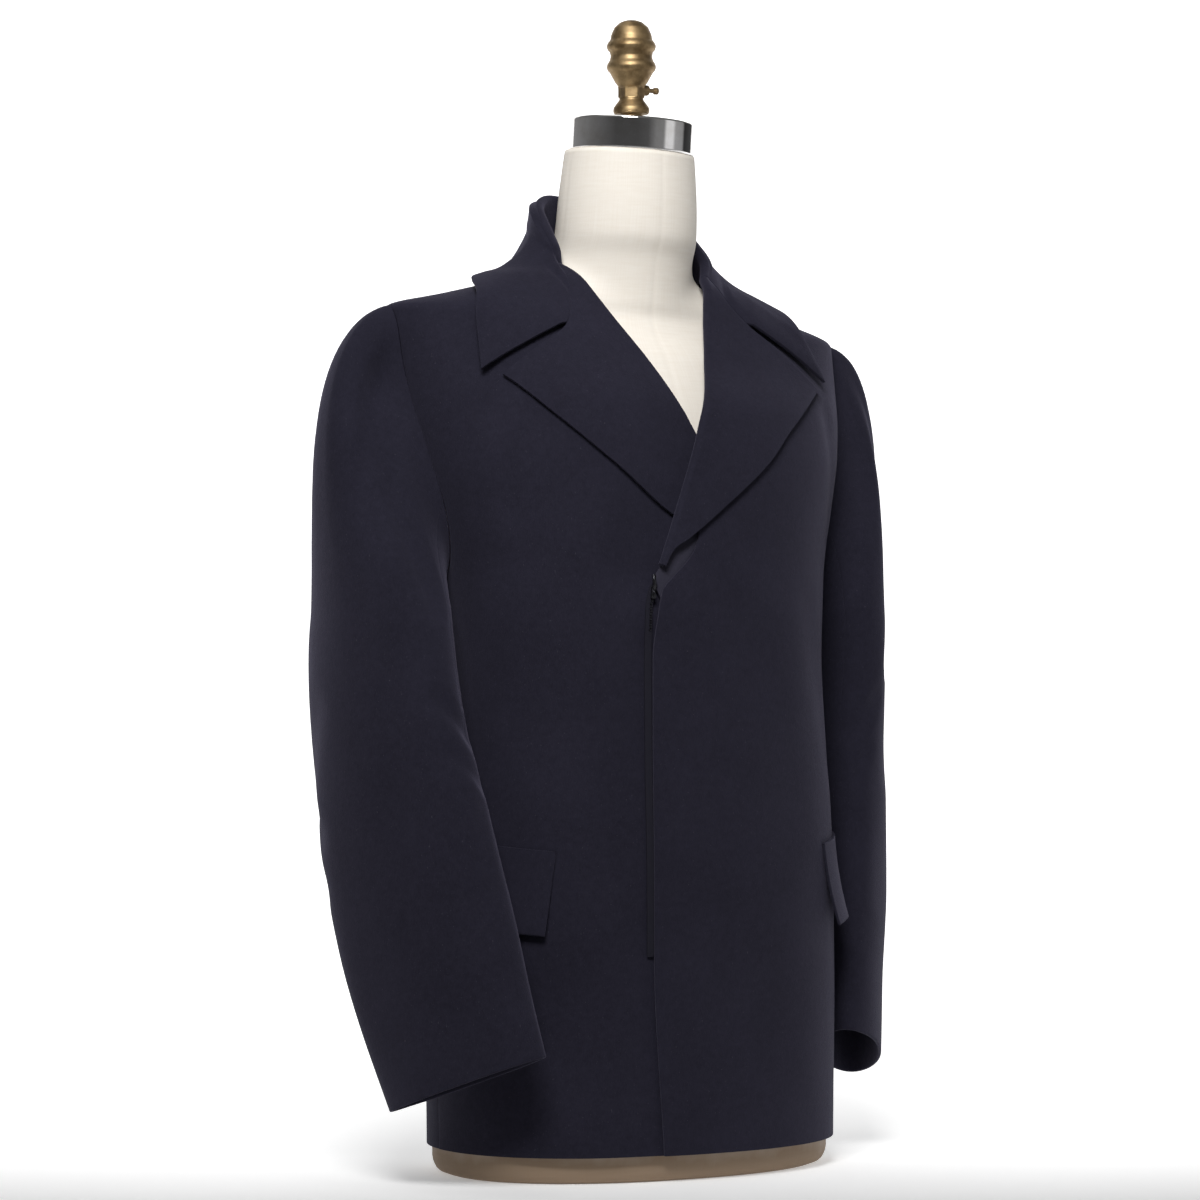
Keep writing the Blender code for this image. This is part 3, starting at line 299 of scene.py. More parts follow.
print("deepest crease on the body:", 1000 * max(crease[5] for crease in BODY_CREASES), "mm")

# %% [markdown]
# ## Fronts
#
# Each front runs from its free edge, or from the line where its lapel rolls, to the side seam
# and the armhole. The left one closes over the right one, so the right one sinks a little
# where it passes under. Both are worked out on the wearer's left, and the right one is mirrored.

# %% Where the fronts roll over or end, as height and place across, and how the right one sinks
ROLL_LINES = {
    "left": (
        (0.020, -0.0440), (0.190, -0.0540), (0.480, -0.0525), (0.503, -0.0470), (0.520, -0.0400),
        (0.562, -0.0235), (0.600, -0.0085), (0.637, 0.0060), (0.690, 0.0330), (0.742, 0.0545),
        (0.766, 0.0640),
    ),
    "right": (
        (0.020, -0.0360), (0.480, -0.0420), (0.515, -0.0400), (0.580, -0.0180),
        (0.626, 0.0030), (0.690, 0.0365), (0.742, 0.0630), (0.766, 0.0745),
    ),
}
# below its lapel the left front's own edge curves away from the roll, and the zip tape shows there
FRONT_EDGES = {
    "left": (
        (0.020, -0.0440), (0.190, -0.0540), (0.440, -0.0515), (0.476, -0.0475), (0.4953, -0.0435),
        (0.5078, -0.0325), (0.5187, -0.0210), (0.5296, -0.0125), (0.5405, -0.0085), (0.600, -0.0080),
        (0.637, 0.0060), (0.690, 0.0330), (0.742, 0.0545), (0.766, 0.0640),
    ),
    "right": ROLL_LINES["right"],
}
UNDERLAP = CLOTH + 0.0014
LAPEL_UNDERLAP = 0.0064
LAPEL_UNDERLAP_HEIGHTS = (0.470, 0.515)
UNDERLAP_EDGE = 0.007
UNDERLAP_EASE = 0.075


def underlap(x, height):
    """How far the right front has sunk under the left one."""
    depth = UNDERLAP + LAPEL_UNDERLAP * smoothstep(*LAPEL_UNDERLAP_HEIGHTS, height)
    left_edge = -eased(ROLL_LINES["left"], height)[0]
    return depth * smoothstep(left_edge + UNDERLAP_EASE, left_edge + UNDERLAP_EDGE, x)


def on_front(side, turn, height, lift):
    """A point of a front, lifted off it by so much, with the cloth's creases."""
    turn, height = np.broadcast_arrays(turn, height)
    point = coat_point(turn, height)
    lift = lift + body_relief(turn if side == "left" else -turn, height)
    if side == "right":
        lift = lift - underlap(point[..., 0], height)
    return point + coat_normal(turn, height) * np.asarray(lift)[..., None]


print("the right front passes", 1000 * UNDERLAP, "mm under the left one")

# %% Seams beside the arms, and the rows and columns of a panel
SIDE_SEAM_BACK = 0.010
# angle up from the underarm, half opening to the front, half opening to the back
ARMHOLE = (
    (0, 0.000, 0.000), (30, 0.022, 0.026), (60, 0.033, 0.044), (90, 0.027, 0.052),
    (120, 0.017, 0.048), (150, 0.011, 0.034), (180, 0.000, 0.000),
)
ARMHOLE_MIDDLE = (SHOULDER_TIP + UNDERARM) / 2
ARMHOLE_HALF = (SHOULDER_TIP - UNDERARM) / 2
SEAM_DIP = 0.0002  # how far the cloth is drawn in along a sewn seam
SEAM_DIP_WIDTH = 0.0045


def seam_y(height):
    centre_y = coat_ring(height)[1]
    return centre_y + SIDE_SEAM_BACK * (1 - smoothstep(UNDERARM, SHOULDER_TIP, height))


def armhole(height):
    """The armhole's half openings to the front and to the back at a height."""
    level = np.clip((ARMHOLE_MIDDLE - height) / ARMHOLE_HALF, -1, 1)
    return eased(ARMHOLE, np.degrees(np.arccos(level)))


def panel_heights():
    """Rows about 4.5 mm apart, closer where the armhole starts and ends."""
    beside = ARMHOLE_MIDDLE - ARMHOLE_HALF * np.cos(np.linspace(0, math.pi, 62))
    above = np.linspace(SHOULDER_TIP, NECK_POINT, 36)
    return np.concatenate([np.linspace(HEM, UNDERARM, 108), beside[1:], above[1:]])


def crowded(count, crowding=0.55):
    """Places from 0 to 1, closer together at both ends."""
    even = np.linspace(0, 1, count)
    return even - crowding * np.sin(math.tau * even) / math.tau


def drawn_in(distance):
    """The dip of the cloth beside a seam this far away."""
    return -SEAM_DIP * np.exp(-((distance / SEAM_DIP_WIDTH) ** 2))


print(len(panel_heights()), "rows in a front")

# %% A front's points
FRONT_COLUMNS = 46


def front_grid(side, depth):
    height = panel_heights()[:, None]
    start = turn_at_x(eased(FRONT_EDGES[side], height)[0] + SEAM, height)
    end = turn_at_y(seam_y(height) - armhole(height)[0] - SEAM, height)
    turn = start + (end - start) * crowded(FRONT_COLUMNS)
    to_seam = np.abs(end - turn) * METRES_A_TURN
    return on_front(side, turn, height, drawn_in(to_seam) - depth)


print("left front:", front_grid("left", 0).shape[:2], "points")

# %% [markdown]
# ## From points to cloth
#
# A cloth piece is two grids of points, its outer face and its inner face, closed all round.
# Solidify could give the wall, but it can't follow the turned edges, so both faces are worked
# out. A Bevel then rounds the rims: fully on a free, folded edge and only a little along a seam,
# so that two sewn pieces meet in a fine line.

# %% The wall between two grids
RIM_ROUNDING = 0.0013
FREE, SEWN = 1.0, 0.10


def rim_weights(mesh, rows, columns, rims):
    """How much the Bevel rounds each rim: first row, last row, first column, last column."""
    ends = np.empty(len(mesh.edges) * 2, int)
    mesh.edges.foreach_get("vertices", ends)
    sheet, place = np.divmod(ends.reshape(-1, 2), rows * columns)
    row, column = np.divmod(place, columns)
    weight = np.zeros(len(mesh.edges))
    same_sheet = sheet[:, 0] == sheet[:, 1]
    lines = ((row, column, 0), (row, column, rows - 1), (column, row, 0), (column, row, columns - 1))
    for (line, across, at), rim in zip(lines, rims):
        on_rim = (line == at).all(axis=1) & same_sheet
        weight[on_rim] = np.asarray(rim)[across[on_rim].min(axis=1)] if np.ndim(rim) else rim
    at_row_end = np.isin(row, (0, rows - 1)).all(axis=1)
    at_column_end = np.isin(column, (0, columns - 1)).all(axis=1)
    weight[~same_sheet & at_row_end & at_column_end] = SEWN
    layer = mesh.attributes.new("bevel_weight_edge", "FLOAT", "EDGE")
    layer.data.foreach_set("value", weight.astype(np.float32))


def wall_faces(rows, columns, flip):
    """Faces of a closed wall between two grids of points."""
    index = np.arange(2 * rows * columns).reshape(2, rows, columns)
    outer, inner = index

    def quads(a, b, c, d):
        return np.stack([a, b, c, d], axis=-1).reshape(-1, 4)

    faces = np.concatenate([
        quads(outer[:-1, :-1], outer[:-1, 1:], outer[1:, 1:], outer[1:, :-1]),
        quads(inner[:-1, :-1], inner[1:, :-1], inner[1:, 1:], inner[:-1, 1:]),
        quads(outer[0, :-1], inner[0, :-1], inner[0, 1:], outer[0, 1:]),
        quads(outer[-1, :-1], outer[-1, 1:], inner[-1, 1:], inner[-1, :-1]),
        quads(outer[:-1, 0], outer[1:, 0], inner[1:, 0], inner[:-1, 0]),
        quads(outer[:-1, -1], inner[:-1, -1], inner[1:, -1], outer[1:, -1]),
    ])
    return faces[:, [0, 3, 2, 1]] if flip else faces


print("free edges are rounded by", 1000 * RIM_ROUNDING, "mm")

# %% Hanging, mirroring and adding a finished piece
def hung(points):
    """The coat hangs a little higher on the right shoulder."""
    lift = -points[..., 0] * SHOULDER_TILT * smoothstep(*TILT_HEIGHTS, points[..., 2])
    return np.concatenate([points[..., :2], (points[..., 2] + lift)[..., None]], axis=-1)


def mirrored(points):
    return points * (-1, 1, 1)


MADE = []


def add_piece(name, solid, mesh, surface):
    """A finished mesh as a smooth object, and the solid, if any, that it takes the place of."""
    mesh.materials.append(surface)
    mesh.polygons.foreach_set("use_smooth", np.ones(len(mesh.polygons), bool))
    made = in_scene(name, mesh)
    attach(made, "root")
    if solid:
        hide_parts(solid)
    MADE.append(made)
    print(name, len(mesh.polygons), "faces")
    return made


def cloth_piece(name, solid, outer, inner, flip, rims, surface, rounding=RIM_ROUNDING):
    """A piece of cloth from its two faces, with rounded rims."""
    rows, columns = outer.shape[:2]
    points = np.concatenate([hung(outer).reshape(-1, 3), hung(inner).reshape(-1, 3)])
    mesh = bpy.data.meshes.new(name)
    mesh.from_pydata(points.tolist(), [], wall_faces(rows, columns, flip).tolist())
    rim_weights(mesh, rows, columns, rims)
    bevel = add_piece(name, solid, mesh, surface).modifiers.new("Rounded rims", "BEVEL")
    bevel.limit_method = "WEIGHT"
    bevel.width = rounding
    bevel.segments = 3


def one_side(part, side, grid, wall, rims, surface, rounding=RIM_ROUNDING):
    """A piece of one side of the coat, worked out on the left and mirrored for the right."""
    faces = [grid(side, 0), grid(side, wall)]
    if side == "right":
        faces = [mirrored(face) for face in faces]
    solid = part + side
    cloth_piece("wool_" + solid, solid, *faces, side == "right", rims, surface, rounding)


# %% [markdown]
# ## Shader groups that several finishes share
#
# A shader group is like a recipe card: the same nap, weave or patina with other amounts. Each
# group puts out only plain values, and every material keeps its own shader.

# %% Making nodes and groups
MIX_COLOURS, MIX_RESULT = (6, 7), 2  # where a Mix node has its colours


def node(tree, kind, inputs=(), **settings):
    """The outputs of a new node, with its settings and a value or a link in each input named."""
    made = tree.nodes.new(kind)
    for name, value in settings.items():
        setattr(made, name, value)
    for socket, value in dict(inputs).items():
        if isinstance(value, bpy.types.NodeSocket):
            tree.links.new(value, made.inputs[socket])
        else:
            made.inputs[socket].default_value = value
    return made.outputs


def new_group(name, inputs, outputs):
    """A node group with number inputs and outputs, and handles to its two ends."""
    tree = bpy.data.node_groups.new(name, "ShaderNodeTree")
    for socket, start in inputs.items():
        kind = "NodeSocketVector" if start is None else "NodeSocketFloat"
        made = tree.interface.new_socket(socket, in_out="INPUT", socket_type=kind)
        if start is not None:
            made.default_value = start
    for socket in outputs:
        tree.interface.new_socket(socket, in_out="OUTPUT", socket_type="NodeSocketFloat")
    return tree, tree.nodes.new("NodeGroupInput").outputs, tree.nodes.new("NodeGroupOutput").inputs


def noise(tree, vector, scale, detail=3.0, roughness=0.55):
    amounts = {"Vector": vector, "Scale": scale, "Detail": detail, "Roughness": roughness}
    return node(tree, "ShaderNodeTexNoise", amounts)["Fac"]


def maths(tree, operation, *values):
    return node(tree, "ShaderNodeMath", enumerate(values), operation=operation)[0]


def stretched(tree, vector, amounts):
    """The vector scaled differently along each axis, so that a pattern runs one way."""
    return node(tree, "ShaderNodeVectorMath", {0: vector, 1: amounts}, operation="MULTIPLY")[0]


def between(tree, value, low, high, to_low=0.0, to_high=1.0):
    ends = {"From Min": low, "From Max": high, "To Min": to_low, "To Max": to_high}
    return node(tree, "ShaderNodeMapRange", {"Value": value, **ends})["Result"]


def mixed(tree, share, *colours):
    """Two colours mixed by a share that changes over the surface."""
    filled = [(*colour, 1) if isinstance(colour, tuple) else colour for colour in colours]
    inputs = {"Factor": share, **dict(zip(MIX_COLOURS, filled))}
    return node(tree, "ShaderNodeMix", inputs, data_type="RGBA")[MIX_RESULT]


def placed(tree, group, **amounts):
    """A group put into a material with its own amounts."""
    inputs = {name.replace("_", " "): value for name, value in amounts.items()}
    return node(tree, "ShaderNodeGroup", inputs, node_tree=group)


# %% Making materials
def finish_of(name, **constants):
    """A material, its node tree and its shader, with plain numbers set on the shader."""
    made = bpy.data.materials.new(name)
    made.use_nodes = True
    shader = made.node_tree.nodes["Principled BSDF"]
    for socket, value in constants.items():
        shader.inputs[socket.replace("_", " ")].default_value = value
    return made, made.node_tree, shader.inputs


def object_place(tree):
    return node(tree, "ShaderNodeTexCoord")["Object"]


def bumped(tree, height, distance, shader, strength):
    relief = {"Height": height, "Distance": distance, "Strength": strength}
    tree.links.new(node(tree, "ShaderNodeBump", relief)["Normal"], shader["Normal"])


# %% Nap: the short brushed fibres that cover milled wool
nap, nap_in, nap_out = new_group(
    "brushed_nap", {"Vector": None, "Fibre Scale": 900.0, "Cloud Scale": 14.0}, ("Tone", "Fleck", "Height")
)
fibres = noise(nap, stretched(nap, nap_in["Vector"], (1.0, 1.0, 0.45)), nap_in["Fibre Scale"], 5.0, 0.7)
tufts = noise(nap, nap_in["Vector"], maths(nap, "MULTIPLY", nap_in["Fibre Scale"], 0.22), 3.0)
clouds = noise(nap, nap_in["Vector"], nap_in["Cloud Scale"], 3.0)
fine = maths(nap, "MULTIPLY_ADD", fibres, 0.62, maths(nap, "MULTIPLY", tufts, 0.38))
tone = maths(nap, "MULTIPLY_ADD", clouds, 0.35, maths(nap, "MULTIPLY", fine, 0.65))
nap.links.new(between(nap, tone, 0.36, 0.64), nap_out["Tone"])
specks = noise(nap, stretched(nap, nap_in["Vector"], (1.0, 1.0, 0.6)), nap_in["Fibre Scale"], 2.0, 0.5)
nap.links.new(between(nap, specks, 0.70, 0.76), nap_out["Fleck"])
nap.links.new(fine, nap_out["Height"])
print("nap group:", len(nap.nodes), "nodes")

# %% Weave: crossing threads, for linen and for tape
weave, weave_in, weave_out = new_group(
    "plain_weave", {"Vector": None, "Threads": 1500.0, "Slubs": 90.0}, ("Tone", "Height")
)
parts = node(weave, "ShaderNodeSeparateXYZ", {0: weave_in["Vector"]})
turns = maths(weave, "MULTIPLY", weave_in["Threads"], math.pi)
warp = maths(weave, "SINE", maths(weave, "MULTIPLY", parts["X"], turns))
weft = maths(weave, "SINE", maths(weave, "MULTIPLY", parts["Y"], turns))
crossing = maths(weave, "MULTIPLY_ADD", maths(weave, "MULTIPLY", warp, weft), 0.5, 0.5)
slub_warp = noise(weave, stretched(weave, weave_in["Vector"], (1.0, 0.04, 1.0)), weave_in["Slubs"], 3.0)
slub_weft = noise(weave, stretched(weave, weave_in["Vector"], (0.04, 1.0, 1.0)), weave_in["Slubs"], 3.0)
slubs = maths(weave, "MULTIPLY", maths(weave, "ADD", slub_warp, slub_weft), 0.5)
for name, share in (("Tone", 0.25), ("Height", 0.7)):
    from_slubs = maths(weave, "MULTIPLY", slubs, 1 - share)
    weave.links.new(maths(weave, "MULTIPLY_ADD", crossing, share, from_slubs), weave_out[name])
print("weave group:", len(weave.nodes), "nodes")

# %% Patina: the uneven darkening and fine rubbing of old metal
patina, patina_in, patina_out = new_group(
    "metal_patina", {"Vector": None, "Stain Scale": 60.0, "Rub Scale": 900.0}, ("Stain", "Rubbing")
)
stains = noise(patina, patina_in["Vector"], patina_in["Stain Scale"], 5.0, 0.62)
patina.links.new(between(patina, stains, 0.42, 0.66), patina_out["Stain"])
rubbed = noise(patina, stretched(patina, patina_in["Vector"], (1.0, 1.0, 6.0)), patina_in["Rub Scale"], 3.0)
patina.links.new(rubbed, patina_out["Rubbing"])
print("patina group:", len(patina.nodes), "nodes")

# %% [markdown]
# ## The wool
#
# Milled wool is woven, then shrunk and brushed until the threads vanish under a nap of short
# fibres. So the finish has no weave: fine stretched noise for the fibres, a slow cloudiness
# from pressing and handling, a few paler fibres, and sheen, which is the pale veil that
# upright fibres show at grazing angles. The dye is navy with a little violet in it.

# %% Navy wool
NAVY_DEEP = (0.0104, 0.0098, 0.0170)
NAVY_WORN = (0.0168, 0.0158, 0.0272)
PALE_FIBRE = (0.034, 0.033, 0.046)
navy_wool, wool_tree, wool = finish_of(
    "navy_wool", Roughness=0.9, Sheen_Weight=0.10, Sheen_Roughness=0.5,
    Sheen_Tint=(0.66, 0.62, 0.90, 1), Specular_IOR_Level=0.10,
)
on_cloth = placed(wool_tree, nap, Vector=object_place(wool_tree), Fibre_Scale=850.0, Cloud_Scale=11.0)
dyed = mixed(wool_tree, on_cloth["Tone"], NAVY_DEEP, NAVY_WORN)
wool_tree.links.new(mixed(wool_tree, on_cloth["Fleck"], dyed, PALE_FIBRE), wool["Base Color"])
wool_tree.links.new(between(wool_tree, on_cloth["Tone"], 0.0, 1.0, 0.95, 0.86), wool["Roughness"])
bumped(wool_tree, on_cloth["Height"], 0.0007, wool, 0.55)
print("navy wool made")

# %% Both fronts
for side in SIDES:
    one_side("front_", side, front_grid, CLOTH, (FREE, SEWN, FREE, SEWN), navy_wool)

# %% [markdown]
# ## Back
#
# The back is one piece from side seam to side seam. Above the shoulders its rows bend, because
# its top edge is the neck seam, which climbs from the shoulder line to the nape.

# %% The back's points
BACK_COLUMNS = 84
BACK_NECK_EXTRA = 0.0006
NECK_RISES = (88, 145)


def neck_edge(turn):
    return NECK_POINT + (BACK_NECK - NECK_POINT) * smoothstep(*NECK_RISES, turn)


def back_grid(depth):
    heights = panel_heights()
    risen = np.concatenate([np.zeros(len(heights)), np.linspace(0, 1, 8)[1:]])[:, None]
    height = np.concatenate([heights, np.full(7, NECK_POINT)])[:, None]
    start = turn_at_y(seam_y(height) + armhole(height)[1] + SEAM, height)
    turn = start + (360 - 2 * start) * crowded(BACK_COLUMNS)
    around = np.where(turn <= 180, turn, 360 - turn)
    level = height + risen * (neck_edge(around) + BACK_NECK_EXTRA - height)
    to_seam = (around - start) * METRES_A_TURN
    lift = drawn_in(to_seam) - depth + body_relief(turn, level)
    return coat_point(turn, level) + coat_normal(turn, level) * lift[..., None]


BACK_RIMS = (FREE, SEWN, SEWN, SEWN)
cloth_piece("wool_back", "back", back_grid(0), back_grid(CLOTH), False, BACK_RIMS, navy_wool)

# %% [markdown]
# ## Lapels
#
# A lapel is the top of the front turned outwards. It starts at the break, above the zip,
# rolls over along a line up to the neck, and ends in a point below the notch. Its turned edge
# is a half circle, and the rest lies on the chest with a hair of air under it.

# %% The lapels' measurements
LAPEL_OUTER = {
    "left": (
        (0.00, -0.0430, 0.5150), (0.06, -0.0330, 0.5300), (0.12, -0.0209, 0.5375), (0.20, -0.0050, 0.5490),
        (0.32, 0.0190, 0.5675), (0.42, 0.0381, 0.5820), (0.56, 0.0642, 0.6030), (0.75, 0.1000, 0.6360),
        (1.00, 0.1560, 0.6760),
    ),
    "right": (
        (0.00, -0.034, 0.5220), (0.20, -0.008, 0.5370), (0.42, 0.033, 0.5620),
        (0.73, 0.097, 0.6130), (1.00, 0.156, 0.6665),
    ),
}
LAPEL_TOP = {
    "left": ((0.00, 0.0640, 0.766), (0.22, 0.073, 0.747), (0.44, 0.087, 0.728), (0.72, 0.120, 0.704)),
    "right": ((0.00, 0.0745, 0.766), (0.22, 0.081, 0.741), (0.44, 0.093, 0.714), (0.72, 0.124, 0.691)),
}
LAPEL_PLACES = np.linspace(0, 1, 84)
LAPEL_LIFT = DOUBLED + CLEAR
ROLL_RADIUS = 0.0045
ROLL_GAP = 0.0008
TURNED = 19  # points round the turned edge
FALL = 27  # and across from it to the free edge
FALL_SPACING = 1.4
NEAR_ALONG, NEAR_ASIDE = 0.02, 0.004  # how far off the places are that tell how the roll lies


def fall_places():
    return (np.arange(1, FALL + 1) / FALL) ** FALL_SPACING


def lapel_line(side, along):
    """Roll line and free edge of a lapel as (x, height), this far up from the break."""
    low = LAPEL_OUTER[side][0][2]
    roll_height = low + (NECK_POINT - low) * np.asarray(along)
    roll = np.stack([eased(ROLL_LINES[side], roll_height)[0], roll_height], axis=-1)
    return roll, np.moveaxis(eased(LAPEL_OUTER[side], along), 0, -1)


def roll_point(side, along, aside=0.0):
    roll, _ = lapel_line(side, along)
    return on_front(side, turn_at_x(roll[..., 0] + aside, roll[..., 1]), roll[..., 1], 0.0)


def turned_edge(side, along, radius):
    """The half circle in which the lapel turns over, square to its roll line."""
    start = roll_point(side, along)
    above, below = np.minimum(1, along + NEAR_ALONG), np.maximum(0, along - NEAR_ALONG)
    upward = roll_point(side, above) - roll_point(side, below)
    sideways = roll_point(side, along, NEAR_ASIDE) - start
    normal = unit(np.cross(sideways, upward))
    towards = unit(np.cross(upward, normal))
    centre = start - towards * ROLL_GAP + normal * (LAPEL_LIFT - ROLL_RADIUS)
    angle = np.linspace(-math.pi / 2, math.pi / 2, TURNED)[None, :, None]
    across, off = np.cos(angle) * radius, np.sin(angle) * radius
    return centre[:, None] - towards[:, None] * across + normal[:, None] * off


def lapel_grid(side, depth, along=LAPEL_PLACES):
    roll, outer = lapel_line(side, along)
    tip = lapel_line(side, 1.0)[1]
    top = (*LAPEL_TOP[side], (1.0, *tip))
    neck = np.array(top[0][1:])
    across = fall_places()[:, None]
    bend = np.moveaxis(eased(top, fall_places()), 0, -1) - (neck + (tip - neck) * across)
    flat = roll[:, None] + (outer - roll)[:, None] * across + bend * (along**3)[:, None, None]
    x, height = flat[..., 0], flat[..., 1]
    face = on_front(side, turn_at_x(x, height), height, LAPEL_LIFT - depth)
    return np.concatenate([turned_edge(side, along, ROLL_RADIUS - depth), face], axis=1)


print("lapels:", len(LAPEL_PLACES), "rows of", TURNED + FALL, "points")

# %% Both lapels, sewn to the collar as far as the notch and free beyond it
NOTCH_COLUMN = 15
NOTCHED = np.where(np.arange(TURNED + FALL) < TURNED - 1 + NOTCH_COLUMN, SEWN, FREE)
LAPEL_RIMS = (FREE, NOTCHED, SEWN, FREE)
for side in SIDES:
    one_side("lapel_", side, lapel_grid, DOUBLED, LAPEL_RIMS, navy_wool)

# %% [markdown]
# ## Collar
#
# The collar is one long piece. It stands up inside the neck, folds over, and falls down on the
# coat's back and shoulders. At the front its end is sewn to the top of the lapel, along the
# gorge, up to the notch. It is laid out as rows: each starts at the neck seam, climbs the
# stand, goes round the fold and down the fall.

# %% The collar's measurements
# along, turn of the seam, fold (x, y, height), left edge (x, height), right edge (x, height)
COLLAR = (
    (0.00, 180, 0.000, 0.079, 0.835, 0.000, 0.7560, 0.000, 0.7560),
    (0.20, 152, 0.037, 0.073, 0.838, 0.060, 0.7570, 0.060, 0.7570),
    (0.40, 122, 0.064, 0.048, 0.827, 0.105, 0.7560, 0.104, 0.7560),
    (0.62, 93, 0.073, 0.016, 0.803, 0.143, 0.7463, 0.146, 0.7455),
    (0.80, 76, 0.074, -0.001, 0.787, 0.149, 0.7200, 0.166, 0.7220),
)
COLLAR_TIP = {"left": (0.164, 0.682), "right": (0.170, 0.668)}
COLLAR_CROSSES = 0.62
COLLAR_EDGE_LIFT = {"left": 0.001, "right": 0.004}
COLLAR_LIFTS = (0.66, 0.80)  # the right edge lifts further off the coat from and to here
COLLAR_SOFTENED = 6
COLLAR_ROUNDING = 0.0012
STAND_FOOT_GAP = 0.0016
GORGE_GAP = (0.0002, 0, 0.0002)
FALL_SAG = (0.26, 0.54)
STAND_POINTS = 6
PUSH_WITHIN = 0.004
PUSHES = 3
PUSH_SHARE = 0.7


def coat_level(x, y, z):
    half_width, centre_y, front, back, power = coat_ring(z)
    depth = np.where(y < centre_y, front, back)
    return (np.abs(x / half_width) ** power + np.abs((y - centre_y) / depth) ** power) ** (1 / power)


def kept_off(points, least):
    """The points moved straight off the coat until they clear it, softly."""
    step = 0.0005
    for _ in range(PUSHES):
        rise = []
        for axis in np.eye(3) * step:
            ahead, behind = points + axis, points - axis
            rise.append(coat_level(*np.moveaxis(ahead, -1, 0)) - coat_level(*np.moveaxis(behind, -1, 0)))
        rise = np.stack(rise, axis=-1) / (2 * step)
        slope = np.linalg.norm(rise, axis=-1)
        over = (coat_level(*np.moveaxis(points, -1, 0)) - 1) / slope - least
        wanted = (over + np.hypot(over, PUSH_WITHIN)) / 2
        move = np.where(over < PUSH_WITHIN, (wanted - over) * PUSH_SHARE, 0)
        points = points + rise / slope[..., None] * move[..., None]
    return points


# %% The collar's rows
COLLAR_STATIONS = 44
GORGE_ROWS = 13
FIXED_BESIDE_ROLL = 9


def collar_stations(side, depth):
    along = np.linspace(0, COLLAR[-1][0], COLLAR_STATIONS)
    turn, x, y, z, *edges = eased(COLLAR, along)
    seam = coat_point(turn, neck_edge(turn))
    fold = np.stack([x, y, z], axis=-1)
    edge_x, edge_height = edges[:2] if side == "left" else edges[2:]
    edge_turn = turn_at_x(edge_x, edge_height)
    edge_turn = np.where(along < COLLAR_CROSSES, 180 - edge_turn, edge_turn)
    edge_lift = COLLAR_EDGE_LIFT["left"]
    edge_lift = edge_lift + (COLLAR_EDGE_LIFT[side] - edge_lift) * smoothstep(*COLLAR_LIFTS, along)
    edge = coat_point(edge_turn, edge_height)
    edge = edge + coat_normal(edge_turn, edge_height) * (LAPEL_LIFT + edge_lift - depth)[:, None]
    outward = unit((edge - fold) * (1, 1, 0))
    up = np.array((0, 0, 1.0))
    foot = seam - outward * (CLOTH + SEAM - depth) + up * STAND_FOOT_GAP
    centre, radius = fold - up * ROLL_RADIUS, ROLL_RADIUS - depth
    inside_top, outside_top = centre - outward * radius, centre + outward * radius
    part = (np.arange(STAND_POINTS) / STAND_POINTS)[None, :, None]
    stand = foot[:, None] + (inside_top - foot)[:, None] * part
    angle = np.linspace(0, math.pi, TURNED - STAND_POINTS)[None, :, None]
    arc = centre[:, None] - outward[:, None] * radius * np.cos(angle) + up * radius * np.sin(angle)
    over, down = FALL_SAG
    bend = outside_top + (edge - outside_top) * (over, over, down)
    part = fall_places()[None, :, None]
    first = outside_top[:, None] + (bend - outside_top)[:, None] * part
    second = bend[:, None] + (edge - bend)[:, None] * part
    least = LAPEL_LIFT + edge_lift[:, None] * part[..., 0] - depth
    fall = kept_off(first + (second - first) * part, least)
    return np.concatenate([stand, arc, fall], axis=1)


def collar_end(side, depth):
    """The collar's last row, along the gorge and the notch, just above the lapel."""
    row = lapel_grid(side, depth, np.array([1.0]))[0]
    tip_x, tip_height = COLLAR_TIP[side]
    tip_lift = LAPEL_LIFT + COLLAR_EDGE_LIFT[side] - depth
    tip = on_front(side, turn_at_x(tip_x, tip_height), tip_height, tip_lift)
    notch, at = row[TURNED - 1 + NOTCH_COLUMN], fall_places()[NOTCH_COLUMN - 1]
    part = ((fall_places()[NOTCH_COLUMN:] - at) / (1 - at))[:, None]
    beyond = kept_off(notch + (tip - notch) * part, LAPEL_LIFT - depth)
    return np.concatenate([row[: TURNED + NOTCH_COLUMN], beyond]) + GORGE_GAP


def collar_half(side, depth):
    stations, end = collar_stations(side, depth), collar_end(side, depth)
    part = np.linspace(0, 1, GORGE_ROWS)[1:, None, None]
    rows = stations[-1] + (end - stations[-1]) * part
    free = TURNED + FIXED_BESIDE_ROLL
    rows[:-1, free:] = kept_off(rows[:-1, free:], LAPEL_LIFT - depth)
    grid = np.concatenate([stations, rows])
    for _ in range(COLLAR_SOFTENED):
        grid[1:-1] = grid[1:-1] * 0.5 + (grid[:-2] + grid[2:]) * 0.25
    return grid


def collar_grid(depth):
    return np.concatenate([mirrored(collar_half("right", depth))[:0:-1], collar_half("left", depth)])


cloth_piece(
    "wool_collar", "collar", collar_grid(0), collar_grid(COLLAR_WALL), True,
    (NOTCHED, NOTCHED, SEWN, FREE), navy_wool, COLLAR_ROUNDING,
)

# %% [markdown]
# ## Sleeves
#
# A tailored sleeve is two pieces, a wide top sleeve and a narrow under sleeve, cut so that the
# arm hangs bent forward. It is made as oval sections down the arm, from the armhole to the
# cuff, with a smooth curve through the matching points of all sections. The sleeve head is
# cut fuller than the armhole and eased in, which is why it swells and dimples at the top.

